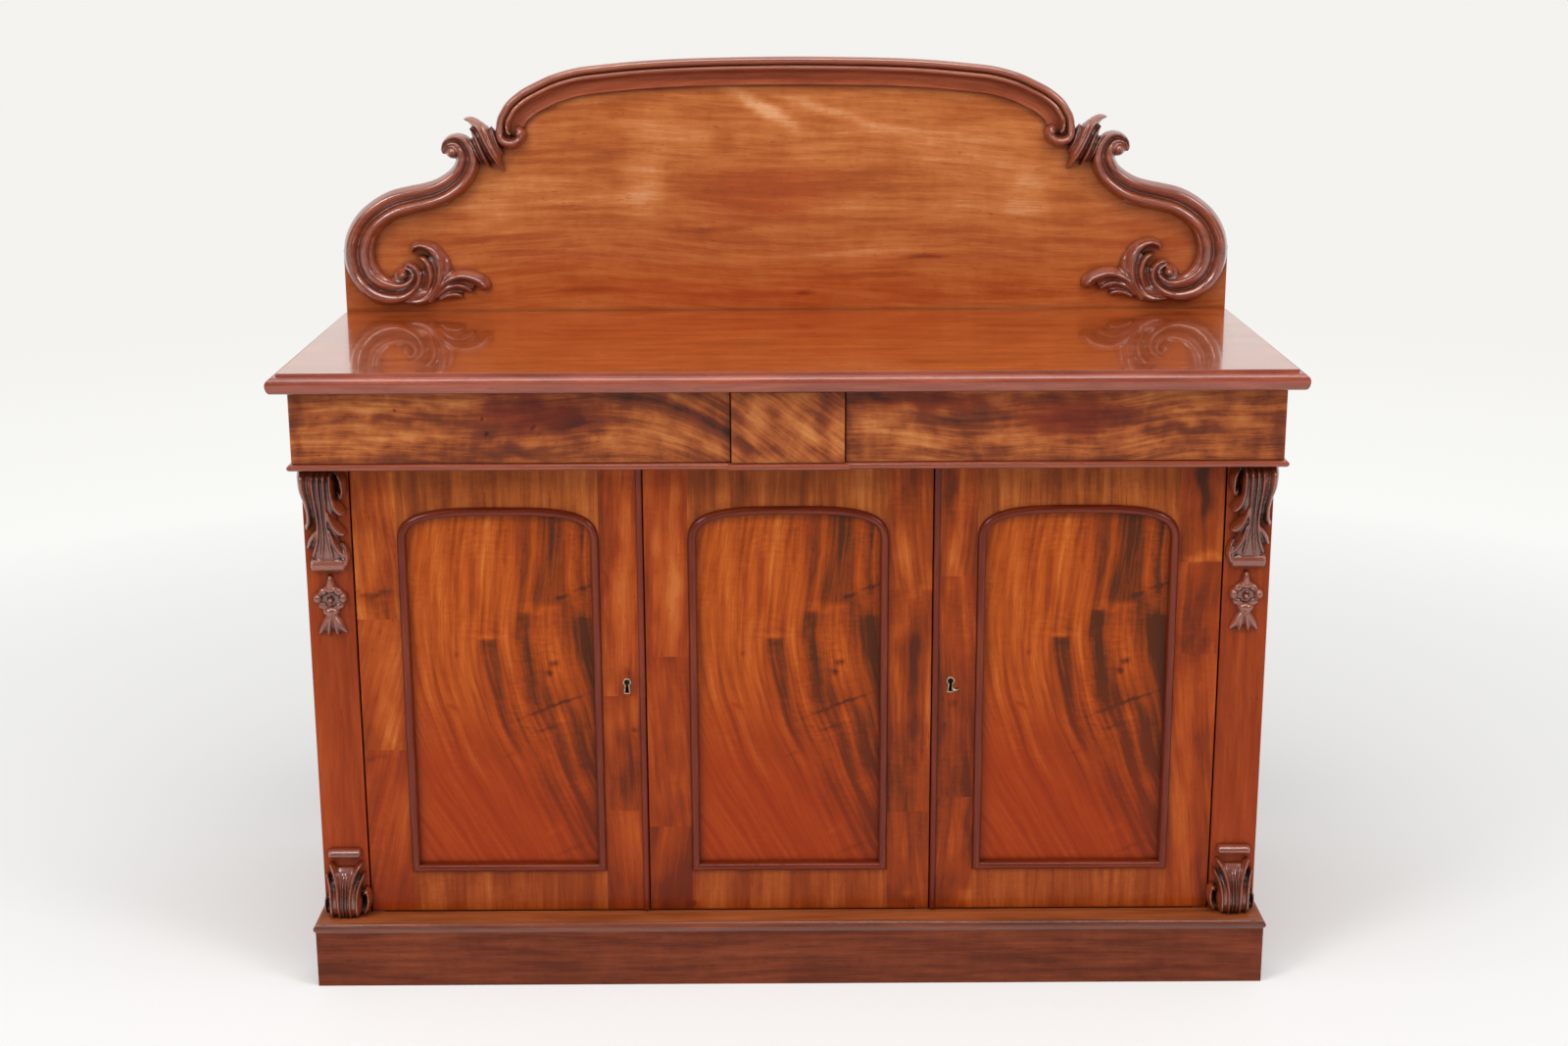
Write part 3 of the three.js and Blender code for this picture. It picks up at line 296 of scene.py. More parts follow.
def sewn(mesh, weld=True):
    """Points that meet become one, faces without area go, and the rest are turned outwards."""
    shell = bmesh.new()
    shell.from_mesh(mesh)
    if weld:
        bmesh.ops.remove_doubles(shell, verts=shell.verts, dist=2e-6)
        bmesh.ops.dissolve_degenerate(shell, edges=shell.edges, dist=1e-6)
    bmesh.ops.recalc_face_normals(shell, faces=shell.faces)
    shell.to_mesh(mesh)
    shell.free()


def piece(name, sheets, finishes, body, nodes, edge=0.0, crease=38):
    """One piece from sheets. A sheet is a grid of points, rows by columns, with the grain place of each
    point, its shade and warmth, the number of its finish, and whether its first and last rows are closed
    with a face. Points that meet are merged, so a row or column given twice makes a joint in the veneer."""
    points, corners, faces, kinds, start = [], [], [], [], 0
    for sheet in sheets:
        grid = np.asarray(sheet["points"], float)
        rows, columns = grid.shape[:2]
        points.append(grid.reshape(-1, 3))
        layers = [np.broadcast_to(sheet.get(layer, 0.0), (rows, columns)).reshape(-1, 1)
                  for layer in ("shade", "warmth")]
        corners.append(np.hstack([np.asarray(sheet["grain"], float).reshape(-1, 2), *layers]))
        spots = start + np.arange(rows * columns).reshape(rows, columns)
        first = spots[:-1, :-1]
        quads = np.stack([first, first + 1, first + columns + 1, first + columns], -1).reshape(-1, 4).tolist()
        if sheet.get("closed"):
            quads += [spots[0, :-1].tolist(), spots[-1, :-1].tolist()]
        if sheet.get("rim"):
            quads.append([*spots[0], *spots[1:, -1], *spots[-1, -2::-1], *spots[-2:0:-1, 0]])
        faces += quads
        kind = np.broadcast_to(sheet.get("finish", 0), (rows - 1, columns - 1)).reshape(-1).tolist()
        kinds += kind + [0] * (len(quads) - len(kind))
        start += rows * columns
    mesh = bpy.data.meshes.new(name)
    mesh.from_pydata(np.vstack(points).tolist(), [], faces)
    corner = np.empty(len(mesh.loops), np.int32)
    mesh.loops.foreach_get("vertex_index", corner)
    values = np.vstack(corners)[corner].astype(np.float32)
    mesh.uv_layers.new(name="grain").data.foreach_set("uv", values[:, :2].ravel())
    for i, layer in enumerate(("shade", "warmth")):
        mesh.attributes.new(layer, "FLOAT", "CORNER").data.foreach_set("value", values[:, 2 + i].copy())
    mesh.polygons.foreach_set("material_index", np.array(kinds, np.int32))
    sewn(mesh)
    for finish in finishes:
        mesh.materials.append(finish)
    made = bpy.data.objects.new(name, mesh)
    bpy.context.scene.collection.objects.link(made)
    if edge:
        rounding = made.modifiers.new("rounded", "BEVEL")
        rounding.width, rounding.segments, rounding.limit_method = edge, 2, "ANGLE"
        rounding.angle_limit = math.radians(50)
    mesh.shade_smooth()
    mesh.set_sharp_from_angle(angle=math.radians(crease))
    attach(made, body)
    if nodes:
        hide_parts(*nodes)
    return made


def ringed(low, high, insets, heights):
    """Rings round a box standing on the floor: ring k lies at its height, drawn in from the box's left and
    right sides, front and rear by its three insets. The grain runs along each side and breaks at the
    corners."""
    side, front, rear = np.asarray(insets, float).T
    left, right, near, far = low[0] + side, high[0] - side, low[1] + front, high[1] - rear
    around = ((left, near), (right, near), (right, far), (left, far), (left, near))
    corners = np.stack([np.stack(corner, -1) for corner in around], 1)
    place = np.repeat(corners, 2, axis=1)[:, 1:-1]
    height = np.broadcast_to(np.reshape(heights, (-1, 1, 1)), (*place.shape[:2], 1))
    points = np.concatenate([place, height], -1)
    across = walked(points[:, 1] * (0, 1, 1))[:, None]
    along = np.stack([place[:, k, axis] + shift for k, axis, shift in (
        (0, 0, 0), (1, 0, 0), (2, 1, 3), (3, 1, 3), (4, 0, 7), (5, 0, 7), (6, 1, 11), (7, 1, 11))], 1)
    return points, np.stack([np.broadcast_to(across, along.shape), along], -1)


def plinth():
    """Its rings run up the outer face, over the swell of the moulding, across the ledge to its inner edge,
    down to the underside of the moulding, out to the wall, down inside it and back to the outer foot."""
    edge_foot = plinth_high.z - plinth_edge_height
    swell = np.sin(run(0, math.pi, 9)) ** 0.7 * plinth_edge_proud
    profile = [(0.0, 0.0), (0.0, edge_foot - plinth_quirk)]
    rises = run(0, plinth_edge_height * plinth_swell_share, 9)
    profile += [(-out, edge_foot + rise) for out, rise in zip(swell, rises)]
    profile += [(inset, plinth_high.z - drop) for inset, drop in plinth_fillet]
    insets = [(inset + plinth_edge_proud, inset + plinth_edge_proud, max(inset, 0)) for inset, _ in profile]
    heights = [height for _, height in profile]
    for wall_side, wall_front, height in (
        (plinth_ledge_side, plinth_ledge_front, plinth_high.z),
        (plinth_ledge_side, plinth_ledge_front, edge_foot),
        (plinth_wall, plinth_wall, edge_foot), (plinth_wall, plinth_wall, 0.0), (0.0, 0.0, 0.0),
    ):
        insets.append((wall_side + plinth_edge_proud, wall_front + plinth_edge_proud, wall_side))
        heights.append(height)
    points, grain = ringed(plinth_low, plinth_high, insets, heights)
    face = mahogany("plinth_mahogany", plinth_shaded_tones, 0.3, 0.35, 0.1, roughness=0.33, coat=0.08)
    edge = mahogany("plinth_edge_mahogany", plinth_shaded_tones, 0.25, 0.3, roughness=0.3, coat=0.7, polish=0.4)
    ledge = mahogany("plinth_ledge_mahogany", plinth_ledge_shaded_tones, 0.3, 0.3, roughness=0.35, coat=0.05)
    kinds = np.zeros((len(points) - 1, 1), int)
    kinds[1:len(profile) - 1], kinds[len(profile) - 1] = 1, 2
    piece("plinth_frame", [{"points": points, "grain": grain, "finish": kinds}], [face, edge, ledge],
          "carcase", ["plinth"], crease=50)


plinth()

# Carcase: two mahogany sides, and plainer wood for the back, the bottom, the partition and the shelves.
# The boards are nailed and glued; the solids are right as they are and only take their finish here.
side_tones = ("#5a220e", "#8e3a12", "#ad4d1a", "#c26426")
inner_tones = ("#4b2c19", "#7d4d2c", "#966240", "#ab7a52")
side_finish = mahogany("side_mahogany", side_tones, 0.35, 0.35, along="z")
lengthwise_finish, upright_finish, drawer_finish = (
    mahogany(f"inner_wood_{name}", inner_tones, 0.3, 0.3, along=axis, roughness=0.62, coat=0.0)
    for name, axis in (("long", "x"), ("upright", "z"), ("drawer", "y")))


def refinish(finish, *names):
    """Gives solids that are right as they are their finish."""
    for name in names:
        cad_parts[name].material_slots[0].material = finish


refinish(side_finish, "side_left", "side_right")
refinish(lengthwise_finish, "bottom_board", "shelf_left", "shelf_right")
refinish(upright_finish, "back_panel", "partition")

# Frieze frame and drawers: the dust board, its cheeks and dividers, and three drawers that run on it.
# Each front is a crotch-veneered board with its clouds lying level; a bead is planted along its foot.
frieze_tones = ("#341a14", "#7e3a1c", "#ac5c2b", "#cf8448")
bead_tones = ("#522013", "#833820", "#9f4b2d", "#b4643f")
bead_height, bead_proud, bead_return, bead_root = 0.010, 0.006, 0.0065, -0.004
frieze_front, centre_break, front_thickness = -0.2635, 0.008, 0.018
front_foot_gap, front_edge = 0.0003, 0.0009
frieze_cell, frieze_depth, centre_shade, centre_grain = 0.0018, 1.25, 0.07, (0.8, 0.6)
arc_start, arc_bend, arc_rise, arc_half, arc_depth, arc_soft = -0.28, 1.45, 0.897, 0.009, 0.3, (0.03, 0.05)
frieze_finish = mahogany("frieze_veneer", frieze_tones, 0.26, 0.34, 0.2, pitch=40, cloud=0.34, coat=0.1,
                         polish=0.16, grime_and_shade=0.6, sway=0.03)
bead_finish = mahogany("bead_mahogany", bead_tones, 0.2, 0.25, roughness=0.3, coat=0.7, polish=0.4)
refinish(mahogany("frieze_frame_mahogany", side_tones, 0.3, 0.3, along="y"), "frieze_frame")
refinish(drawer_finish, "drawer_left_box", "drawer_centre_box", "drawer_right_box")


def board(place, front, rear, **layers):
    """A flat board as one sheet: a grid of places across and up lies in the front plane, and its outer rows
    and columns are repeated in the rear plane, where one face closes it. Layers are values on the same
    grid."""
    place = np.pad(np.asarray(place, float), ((1, 1), (1, 1), (0, 0)), mode="edge")
    depth = np.full(place.shape[:2], front)
    depth[[0, -1], :], depth[:, [0, -1]] = rear, rear
    sheet = {"points": np.stack([place[..., 0], depth, place[..., 1]], -1), "rim": True}
    for name, layer in layers.items():
        around = ((1, 1), (1, 1)) + ((0, 0),) * (np.ndim(layer) - 2)
        sheet[name] = np.pad(np.asarray(layer, float), around, mode="edge")
    return sheet


def crossing(across, up):
    """Every pair of a place across and a place up, as a grid with its rows going up."""
    return np.stack(np.meshgrid(across, up), -1)


def clouds(place, spots, ragged=0.004):
    """Soft patches: each spot is a Gaussian hill with its middle, its reach across and up, its depth, and how
    many degrees it is turned. A small wave in the places makes the edges of all of them uneven."""
    x = place[..., 0] + ragged * np.sin(place[..., 1] * 95 + place[..., 0] * 60)
    z = place[..., 1] + ragged * np.sin(place[..., 0] * 120 + place[..., 1] * 40)
    total = np.zeros(x.shape)
    for middle_x, middle_z, reach_x, reach_z, depth, *turned in spots:
        turn = math.radians(turned[0]) if turned else 0.0
        across = (x - middle_x) * math.cos(turn) + (z - middle_z) * math.sin(turn)
        up = (z - middle_z) * math.cos(turn) - (x - middle_x) * math.sin(turn)
        total += depth * np.exp(-((across / reach_x) ** 2 + (up / reach_z) ** 2) ** 1.5)
    return total


# Figure of the fronts: the dark clouds and pale streaks of the veneer and the filled holes of old screws,
# each with its middle, its reach across and up, its depth and, where it leans, its turn in degrees.
frieze_spots = (
    (-0.352, 0.868, 0.078, 0.024, -0.34), (-0.4, 0.882, 0.03, 0.012, -0.1),
    (-0.3, 0.855, 0.03, 0.012, -0.16), (-0.385, 0.815, 0.035, 0.01, -0.2), (-0.55, 0.878, 0.1, 0.006, 0.12),
    (-0.58, 0.862, 0.09, 0.006, -0.14), (-0.66, 0.85, 0.03, 0.03, 0.06), (-0.5, 0.84, 0.06, 0.008, 0.08),
    (-0.55, 0.825, 0.09, 0.006, -0.12), (-0.46, 0.85, 0.02, 0.02, 0.08), (-0.22, 0.845, 0.07, 0.018, 0.14),
    (-0.13, 0.825, 0.05, 0.014, 0.1), (-0.69, 0.85, 0.008, 0.05, -0.15), (0.13, 0.85, 0.05, 0.025, 0.16),
    (0.19, 0.835, 0.05, 0.015, 0.12), (0.11, 0.895, 0.03, 0.01, -0.2), (0.2, 0.885, 0.09, 0.013, -0.26, -6),
    (0.27, 0.87, 0.05, 0.012, -0.15), (0.4, 0.862, 0.075, 0.022, -0.3), (0.35, 0.885, 0.04, 0.01, -0.2),
    (0.3, 0.83, 0.06, 0.012, 0.12), (0.56, 0.87, 0.07, 0.006, 0.12), (0.565, 0.845, 0.06, 0.01, -0.22),
    (0.5, 0.825, 0.06, 0.008, 0.08), (0.64, 0.86, 0.02, 0.04, 0.08), (0.69, 0.84, 0.012, 0.03, -0.15),
    (-0.065, 0.825, 0.03, 0.012, -0.2, -20), (0.05, 0.885, 0.03, 0.016, -0.2),
    (0.0, 0.86, 0.03, 0.03, 0.08), (0.03, 0.84, 0.03, 0.02, 0.08), (-0.43, 0.8657, 0.0022, 0.0022, -0.5),
    (-0.356, 0.867, 0.0022, 0.0022, -0.5), (-0.4266, 0.8448, 0.0022, 0.0022, -0.5),
    (-0.356, 0.8476, 0.0022, 0.0022, -0.5), (-0.5515, 0.876, 0.002, 0.002, -0.5),
    (-0.62, 0.855, 0.07, 0.04, 0.1), (-0.45, 0.852, 0.03, 0.02, -0.14), (-0.26, 0.854, 0.08, 0.011, -0.16),
    (-0.31, 0.887, 0.035, 0.012, 0.18), (-0.15, 0.887, 0.045, 0.011, 0.22),
    (-0.58, 0.822, 0.08, 0.008, 0.08), (-0.045, 0.862, 0.015, 0.034, 0.22),
    (0.05, 0.85, 0.012, 0.04, -0.16), (0.22, 0.853, 0.07, 0.014, -0.16), (0.59, 0.853, 0.09, 0.012, 0.12),
    (0.2, 0.887, 0.1, 0.009, -0.08), (0.22, 0.822, 0.07, 0.008, 0.11), (0.37, 0.822, 0.04, 0.008, -0.08),
)
frieze_blushes = (
    (-0.352, 0.868, 0.085, 0.026, 0.4), (0.4, 0.862, 0.08, 0.03, 0.45), (0.2, 0.885, 0.1, 0.014, 0.35),
)


def front_bead(left, right, face, rear, returns):
    """Half-round bead: the profile is a half circle from its foot to its head, its path the front edge with
    a mitred return at each end that has one."""
    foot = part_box("drawer_centre_front")[0].z
    turn = run(-math.pi / 2, math.pi / 2, 13)
    out = np.concatenate([[bead_root], np.cos(turn) * bead_proud, [bead_root, bead_root]])
    rise = np.concatenate([[0], (1 + np.sin(turn)) * bead_height / 2, [bead_height, 0]]) + foot
    x0, x1 = left - out * returns[0], right + out * returns[1]
    rows = [(x0, face - out), (x1, face - out)]
    if returns[0]:
        rows.insert(0, (x0, np.full_like(out, rear)))
    if returns[1]:
        rows.append((x1, np.full_like(out, rear)))
    points = np.array([np.stack([x, y, rise], -1) for x, y in rows])
    grain = np.stack(np.meshgrid(walked(np.stack([out, rise], -1)), walked(points[:, 0])), -1)
    return {"points": points, "grain": grain, "closed": True}


def drawer_fronts():
    """The left front's grain curves down to its right in an arc with the square of the way along it, under a
    dark streak that follows the arc. The middle front's grain leans, and the right one's waves a little."""
    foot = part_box("drawer_centre_front")[0].z + bead_height + front_foot_gap
    inner_return = bead_return / bead_proud
    for name, returns in (("left", (1, 0)), ("centre", (inner_return, inner_return)), ("right", (0, 1))):
        low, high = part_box(f"drawer_{name}_front")
        face = frieze_front - (centre_break if name == "centre" else 0)
        rear = frieze_front + front_thickness
        left, right = low.x + returns[0] * bead_proud, high.x - returns[1] * bead_proud
        place = crossing(run(left, right, int((right - left) / frieze_cell)),
                         run(foot, high.z, int((high.z - foot) / frieze_cell)))
        x, z = place[..., 0], place[..., 1]
        shade = clouds(place, frieze_spots) * frieze_depth
        if name == "centre":
            length, rise = centre_grain
            grain = np.stack([z * length + x * rise, x * length - z * rise], -1)
            shade = shade + centre_shade
        elif name == "left":
            bent = z + arc_bend * np.clip(x - arc_start, 0, None) ** 2
            grain = np.stack([bent + 0.006 * np.sin(x * 12), x], -1)
            arc = np.clip((x - arc_start + arc_soft[0]) / arc_soft[1], 0, 1)
            shade = shade - arc_depth * arc * np.exp(-((bent - arc_rise) / arc_half) ** 2)
        else:
            grain = np.stack([z + 0.01 * np.sin((x - 0.1) * 8) + 0.003 * np.sin(x * 31), x], -1)
        front = board(place, face, rear, grain=grain, shade=shade, warmth=clouds(place, frieze_blushes))
        bead = front_bead(left, right, face, rear, returns)
        body, node = f"drawer_{name}", [f"drawer_{name}_front"]
        piece(f"{name}_drawer_face", [front], [frieze_finish], body, node, edge=front_edge)
        piece(f"{name}_drawer_bead", [bead], [bead_finish], body, node, crease=60)


drawer_fronts()

# Work surface: one thick mahogany board, its front and ends worked to a thumb moulding under a small step,
# screwed down from inside. It is the most polished face of the piece.
top_low, top_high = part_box("top_board")
top_lip, top_step, top_tip, top_arris = 0.0135, 0.004, 0.915, 0.001
top_tones = ("#602a12", "#984118", "#b45622", "#ca7034")
thumb_tones = ("#5a2416", "#8a3c28", "#a35038", "#b8684c")


def work_surface():
    """The thumb moulding is two quarter ellipses that meet at its tip, the upper one as deep as the lip and
    the lower one half as deep, under the rounded arris of the step."""
    turn = run(math.pi / 2, 0, 12)
    upper_rise = top_high.z - top_step - top_tip
    upper = np.stack([top_lip * (1 - np.cos(turn)), top_tip + upper_rise * np.sin(turn)], -1)
    turn = run(0, -math.pi / 2, 10)[1:]
    lower = np.stack([top_lip / 2 * (1 - np.cos(turn)), top_tip + (top_tip - top_low.z) * np.sin(turn)], -1)
    turn = run(0, math.pi / 2, 4)
    crown = np.stack([top_lip + top_arris * (1 - np.sin(turn)[::-1]),
                      top_high.z - top_arris * (1 - np.cos(turn)[::-1])], -1)
    profile = np.vstack([lower[::-1], upper[::-1], crown])
    points, grain = ringed(top_low, top_high, profile[:, :1] * (1, 1, 0), profile[:, 1])
    sheets = [{"points": points, "grain": grain}]
    for ring, columns, rows in ((points[-1], 40, 20), (points[0], 2, 2)):
        flat = crossing(run(ring[0, 0], ring[1, 0], columns), run(ring[0, 1], ring[3, 1], rows))
        flat_points = np.concatenate([flat, np.full((rows, columns, 1), ring[0, 2])], -1)
        sheets.append({"points": flat_points, "grain": flat[..., ::-1], "finish": 1})
    thumb = mahogany("thumb_mahogany", thumb_tones, 0.25, 0.3, roughness=0.25, coat=0.65, polish=0.45,
                     gloss=0.07)
    flat_finish = mahogany("top_mahogany", top_tones, 0.35, 0.4, roughness=0.2, coat=1.0, polish=0.5,
                           gloss=0.03)
    piece("work_surface", sheets, [thumb, flat_finish], "carcase", ["top_board"], crease=40)


work_surface()

# Doors: each is a frame of two stiles and two rails veneered with upright patches, the top rail arched below.
# The panel lies in a rebate behind, and a half-round moulding is planted round it.
door_front, door_thickness, panel_setback, panel_rebate = -0.228, 0.022, 0.006, 0.008
stile_width, rail_height, top_rail_height, arch_rise, arch_square = 0.063, 0.062, 0.0585, 0.0605, 3.4
door_back, panel_front = door_front + door_thickness, door_front + panel_setback
closing_bead, closing_proud, frame_edge, patch_step, patch_shift = 0.009, 0.004, 0.0006, 0.005, 0.37
stile_tones = ("#4e210e", "#963d0f", "#b5551c", "#ce7836")
rail_tones = ("#4c2410", "#8e4014", "#af5922", "#cb7a3d")
panel_tones = ("#54260d", "#a0410c", "#bb5617", "#d0742f")
moulding_tones = ("#340e06", "#661f0c", "#7e3016", "#954624")
stile_finish = mahogany("stile_veneer", stile_tones, 0.4, 0.44, 0.05, pitch=24, cloud=0.16, grime_and_shade=0.5,
                        sway=0.045, ripple=0.14)
rail_finish = mahogany("rail_veneer", rail_tones, 0.3, 0.36, 0.06, cloud=0.12, grime_and_shade=0.5, sway=0.03,
                       ripple=0.1)
panel_finish = mahogany("panel_veneer", panel_tones, 0.3, 0.46, 0.06, pitch=30, cloud=0.08, warm="#9a2c06",
                        grime_and_shade=0.6, ripple=0.22)
moulding_finish = mahogany("moulding_mahogany", moulding_tones, 0.2, 0.3, roughness=0.3, coat=0.4,
                           polish=0.12, gloss=0.07, grime_and_shade=0.6)

# Joints in the stiles' veneer: how high each patch starts, how much lighter or darker and how warm it is, and
# how far its grain leans to the right for each metre up.
stile_patches = {
    ("left", "left"): ((0.103, -0.12, 0.5, 0.22), (0.358, -0.02, 0.2, 0.3), (0.559, 0.04, 0.0, -0.06)),
    ("left", "right"): ((0.103, -0.16, 0.35, 0.04), (0.261, -0.14, 0.25, 0.02), (0.44, -0.04, 0.2, -0.04)),
    ("centre", "left"): ((0.103, -0.24, 0.35, 0.1), (0.235, -0.12, 0.4, -0.1), (0.5, -0.05, 0.35, 0.05)),
    ("centre", "right"): ((0.103, -0.18, 0.2, 0.04), (0.257, -0.13, 0.1, 0.0), (0.6, -0.07, 0.0, 0.1)),
    ("right", "left"): ((0.103, -0.18, 0.25, 0.08), (0.28, -0.2, 0.2, -0.05), (0.62, -0.08, 0.0, 0.1)),
    ("right", "right"): ((0.103, -0.06, 0.3, 0.12), (0.501, -0.16, 0.25, -0.08), (0.64, -0.02, 0.0, 0.05)),
}

# Figure of the doors' frames: lighter and darker clouds of the stiles from left to right, then of the rails,
# with the scratches round the keyholes. The columns are those of the frieze's figure.
door_spots = (
    (-0.595, 0.7, 0.03, 0.05, 0.1), (-0.575, 0.69, 0.012, 0.02, -0.12), (-0.6, 0.592, 0.03, 0.014, -0.14),
    (-0.605, 0.52, 0.02, 0.05, 0.08), (-0.585, 0.4, 0.01, 0.05, 0.15, 12),
    (-0.615, 0.37, 0.012, 0.03, -0.14), (-0.575, 0.25, 0.014, 0.06, 0.1, 8),
    (-0.57, 0.13, 0.02, 0.04, -0.14), (-0.616, 0.7, 0.007, 0.1, -0.08), (-0.255, 0.75, 0.03, 0.04, -0.1),
    (-0.235, 0.7, 0.008, 0.06, 0.08), (-0.268, 0.6, 0.006, 0.04, -0.26), (-0.25, 0.66, 0.012, 0.03, -0.1),
    (-0.245, 0.51, 0.02, 0.05, 0.05), (-0.24, 0.455, 0.025, 0.03, -0.14), (-0.258, 0.4, 0.012, 0.05, 0.14),
    (-0.23, 0.36, 0.015, 0.05, -0.18), (-0.235, 0.3, 0.02, 0.035, -0.22), (-0.25, 0.22, 0.02, 0.035, 0.12),
    (-0.245, 0.13, 0.03, 0.03, -0.08), (-0.15, 0.75, 0.008, 0.05, -0.16), (-0.2, 0.6, 0.006, 0.12, -0.1),
    (-0.175, 0.68, 0.018, 0.1, 0.1), (-0.17, 0.55, 0.02, 0.08, 0.06), (-0.165, 0.3, 0.02, 0.03, 0.12, -25),
    (-0.185, 0.25, 0.02, 0.04, -0.12, -25), (-0.165, 0.16, 0.03, 0.04, -0.2),
    (-0.185, 0.12, 0.03, 0.03, -0.2), (-0.139, 0.1075, 0.009, 0.0055, -0.6),
    (0.16, 0.75, 0.012, 0.05, -0.16), (0.185, 0.76, 0.01, 0.04, -0.12),
    (0.17, 0.64, 0.011, 0.045, 0.18, 15), (0.165, 0.54, 0.02, 0.012, 0.1), (0.175, 0.49, 0.02, 0.05, -0.2),
    (0.17, 0.4, 0.025, 0.05, -0.14), (0.17, 0.32, 0.02, 0.06, -0.12), (0.19, 0.34, 0.006, 0.05, 0.12),
    (0.165, 0.12, 0.02, 0.02, -0.18), (0.175, 0.13, 0.008, 0.01, 0.25), (0.233, 0.75, 0.008, 0.05, -0.18),
    (0.25, 0.72, 0.012, 0.06, 0.1), (0.24, 0.63, 0.012, 0.035, 0.2), (0.255, 0.52, 0.02, 0.05, 0.04),
    (0.235, 0.45, 0.02, 0.04, -0.18), (0.235, 0.39, 0.02, 0.03, -0.14), (0.24, 0.31, 0.03, 0.03, -0.08),
    (0.266, 0.225, 0.008, 0.04, -0.24), (0.245, 0.2, 0.02, 0.05, 0.05), (0.23, 0.13, 0.02, 0.03, -0.16),
    (0.266, 0.12, 0.01, 0.012, 0.25), (0.597, 0.75, 0.01, 0.05, -0.4), (0.575, 0.74, 0.008, 0.05, 0.05),
    (0.59, 0.68, 0.02, 0.03, -0.1), (0.6, 0.646, 0.03, 0.007, 0.2), (0.6, 0.57, 0.03, 0.06, -0.14),
    (0.59, 0.52, 0.02, 0.03, -0.1), (0.59, 0.43, 0.025, 0.06, 0.1), (0.61, 0.36, 0.01, 0.08, -0.1),
    (0.61, 0.15, 0.01, 0.05, -0.12), (-0.231, 0.391, 0.0045, 0.0035, -0.4),
    (-0.2365, 0.476, 0.006, 0.006, -0.25), (0.2336, 0.4124, 0.003, 0.003, -0.3),
    (0.2326, 0.389, 0.0035, 0.003, -0.3), (0.2365, 0.43, 0.007, 0.006, -0.2),
    (-0.2365, 0.455, 0.011, 0.018, -0.12), (-0.608, 0.345, 0.02, 0.0035, -0.2),
    (-0.6, 0.597, 0.03, 0.0035, -0.25), (-0.165, 0.58, 0.008, 0.06, 0.16),
    (-0.5145, 0.76, 0.033, 0.06, -0.07), (-0.4475, 0.76, 0.015, 0.06, -0.1),
    (-0.35, 0.75, 0.04, 0.06, 0.06), (-0.12, 0.76, 0.02, 0.06, -0.14), (-0.068, 0.76, 0.01, 0.06, -0.16),
    (0.029, 0.76, 0.034, 0.06, -0.05), (0.1, 0.76, 0.02, 0.06, 0.05), (0.4425, 0.76, 0.03, 0.06, 0.06),
    (0.49, 0.76, 0.02, 0.06, 0.07), (-0.4925, 0.134, 0.016, 0.06, -0.16), (-0.54, 0.134, 0.012, 0.06, 0.1),
    (-0.43, 0.134, 0.012, 0.06, -0.07), (-0.36, 0.134, 0.012, 0.06, -0.07),
    (-0.072, 0.134, 0.014, 0.06, -0.2), (-0.02, 0.134, 0.02, 0.06, 0.06), (0.05, 0.134, 0.012, 0.06, -0.08),
    (0.36, 0.134, 0.04, 0.06, 0.04), (0.247, 0.57, 0.03, 0.04, 0.08), (0.247, 0.465, 0.03, 0.045, -0.05),
    (-0.42, 0.76, 0.035, 0.06, 0.1), (-0.54, 0.76, 0.015, 0.06, -0.08), (0.11, 0.76, 0.03, 0.06, 0.1),
    (0.3, 0.76, 0.035, 0.06, 0.08), (0.58, 0.755, 0.04, 0.05, -0.13), (0.245, 0.755, 0.02, 0.05, -0.08),
)


def stile_section(side, lip, edge, beaded):
    """Outline of a stile seen from above, and which of its stretches are bead: back, closing edge with or
    without its half-round bead, front face, and the rebate for the panel."""
    inner = lip + side * panel_rebate
    if beaded:
        turn = run(0, math.pi, 13)
        middle = edge - side * closing_bead / 2
        rim = np.stack([middle + side * closing_bead / 2 * np.cos(turn),
                        door_front - closing_proud * np.sin(turn)], -1)
    else:
        turn = run(0, math.pi / 2, 4)
        rim = np.stack([edge - side * frame_edge * (1 - np.cos(turn)),
                        door_front + frame_edge * (1 - np.sin(turn))], -1)
    back = [(x, door_back) for x in run(inner, edge, 3)]
    face = [(x, door_front) for x in run(rim[-1, 0], lip, 16)[1:]]
    outline = np.vstack([back, rim, face, [(lip, panel_front), (inner, panel_front), (inner, door_back)]])
    is_bead = np.zeros(len(outline) - 1, int)
    if beaded:
        is_bead[len(back):len(back) + len(rim) - 1] = 1
    return outline, is_bead


def cut_away(made, cutters):
    """Takes the cutters' shapes out of a piece and keeps the result as its mesh."""
    for mesh in cutters:
        tool = bpy.data.objects.new("cutter", mesh)
        bpy.context.scene.collection.objects.link(tool)
        cut = made.modifiers.new("cut", "BOOLEAN")
        cut.object, cut.operation, cut.solver = tool, "DIFFERENCE", "EXACT"
    result = bpy.data.meshes.new_from_object(made.evaluated_get(bpy.context.evaluated_depsgraph_get()))
    for modifier in list(made.modifiers):
        tool = modifier.object
        made.modifiers.remove(modifier)
        bpy.data.objects.remove(tool)
    result.name = made.data.name
    made.data = result


def prism(outline, low, high, axis):
    """A flat outline carried straight between two planes; axis y stands it up, axis z lays it down."""
    outline = np.asarray(outline, float)
    count = len(outline)
    ends = [np.insert(outline, 1 if axis == "y" else 2, plane, axis=1) for plane in (low, high)]
    faces = [(i, (i + 1) % count, count + (i + 1) % count, count + i) for i in range(count)]
    faces += [tuple(range(count))[::-1], tuple(range(count, 2 * count))]
    mesh = bpy.data.meshes.new("cutter")
    mesh.from_pydata(np.vstack(ends).tolist(), [], faces)
    sewn(mesh, weld=False)
    return mesh


def recess(edge, side, reach, foot, head, front, rear):
    """A block that cuts a recess of a given reach into a stile's edge, between two heights and two depths."""
    x0, x1 = sorted((edge - side * reach, edge + side * clearance))
    return prism([(x0, foot), (x1, foot), (x1, head), (x0, head)], front, rear, "y")


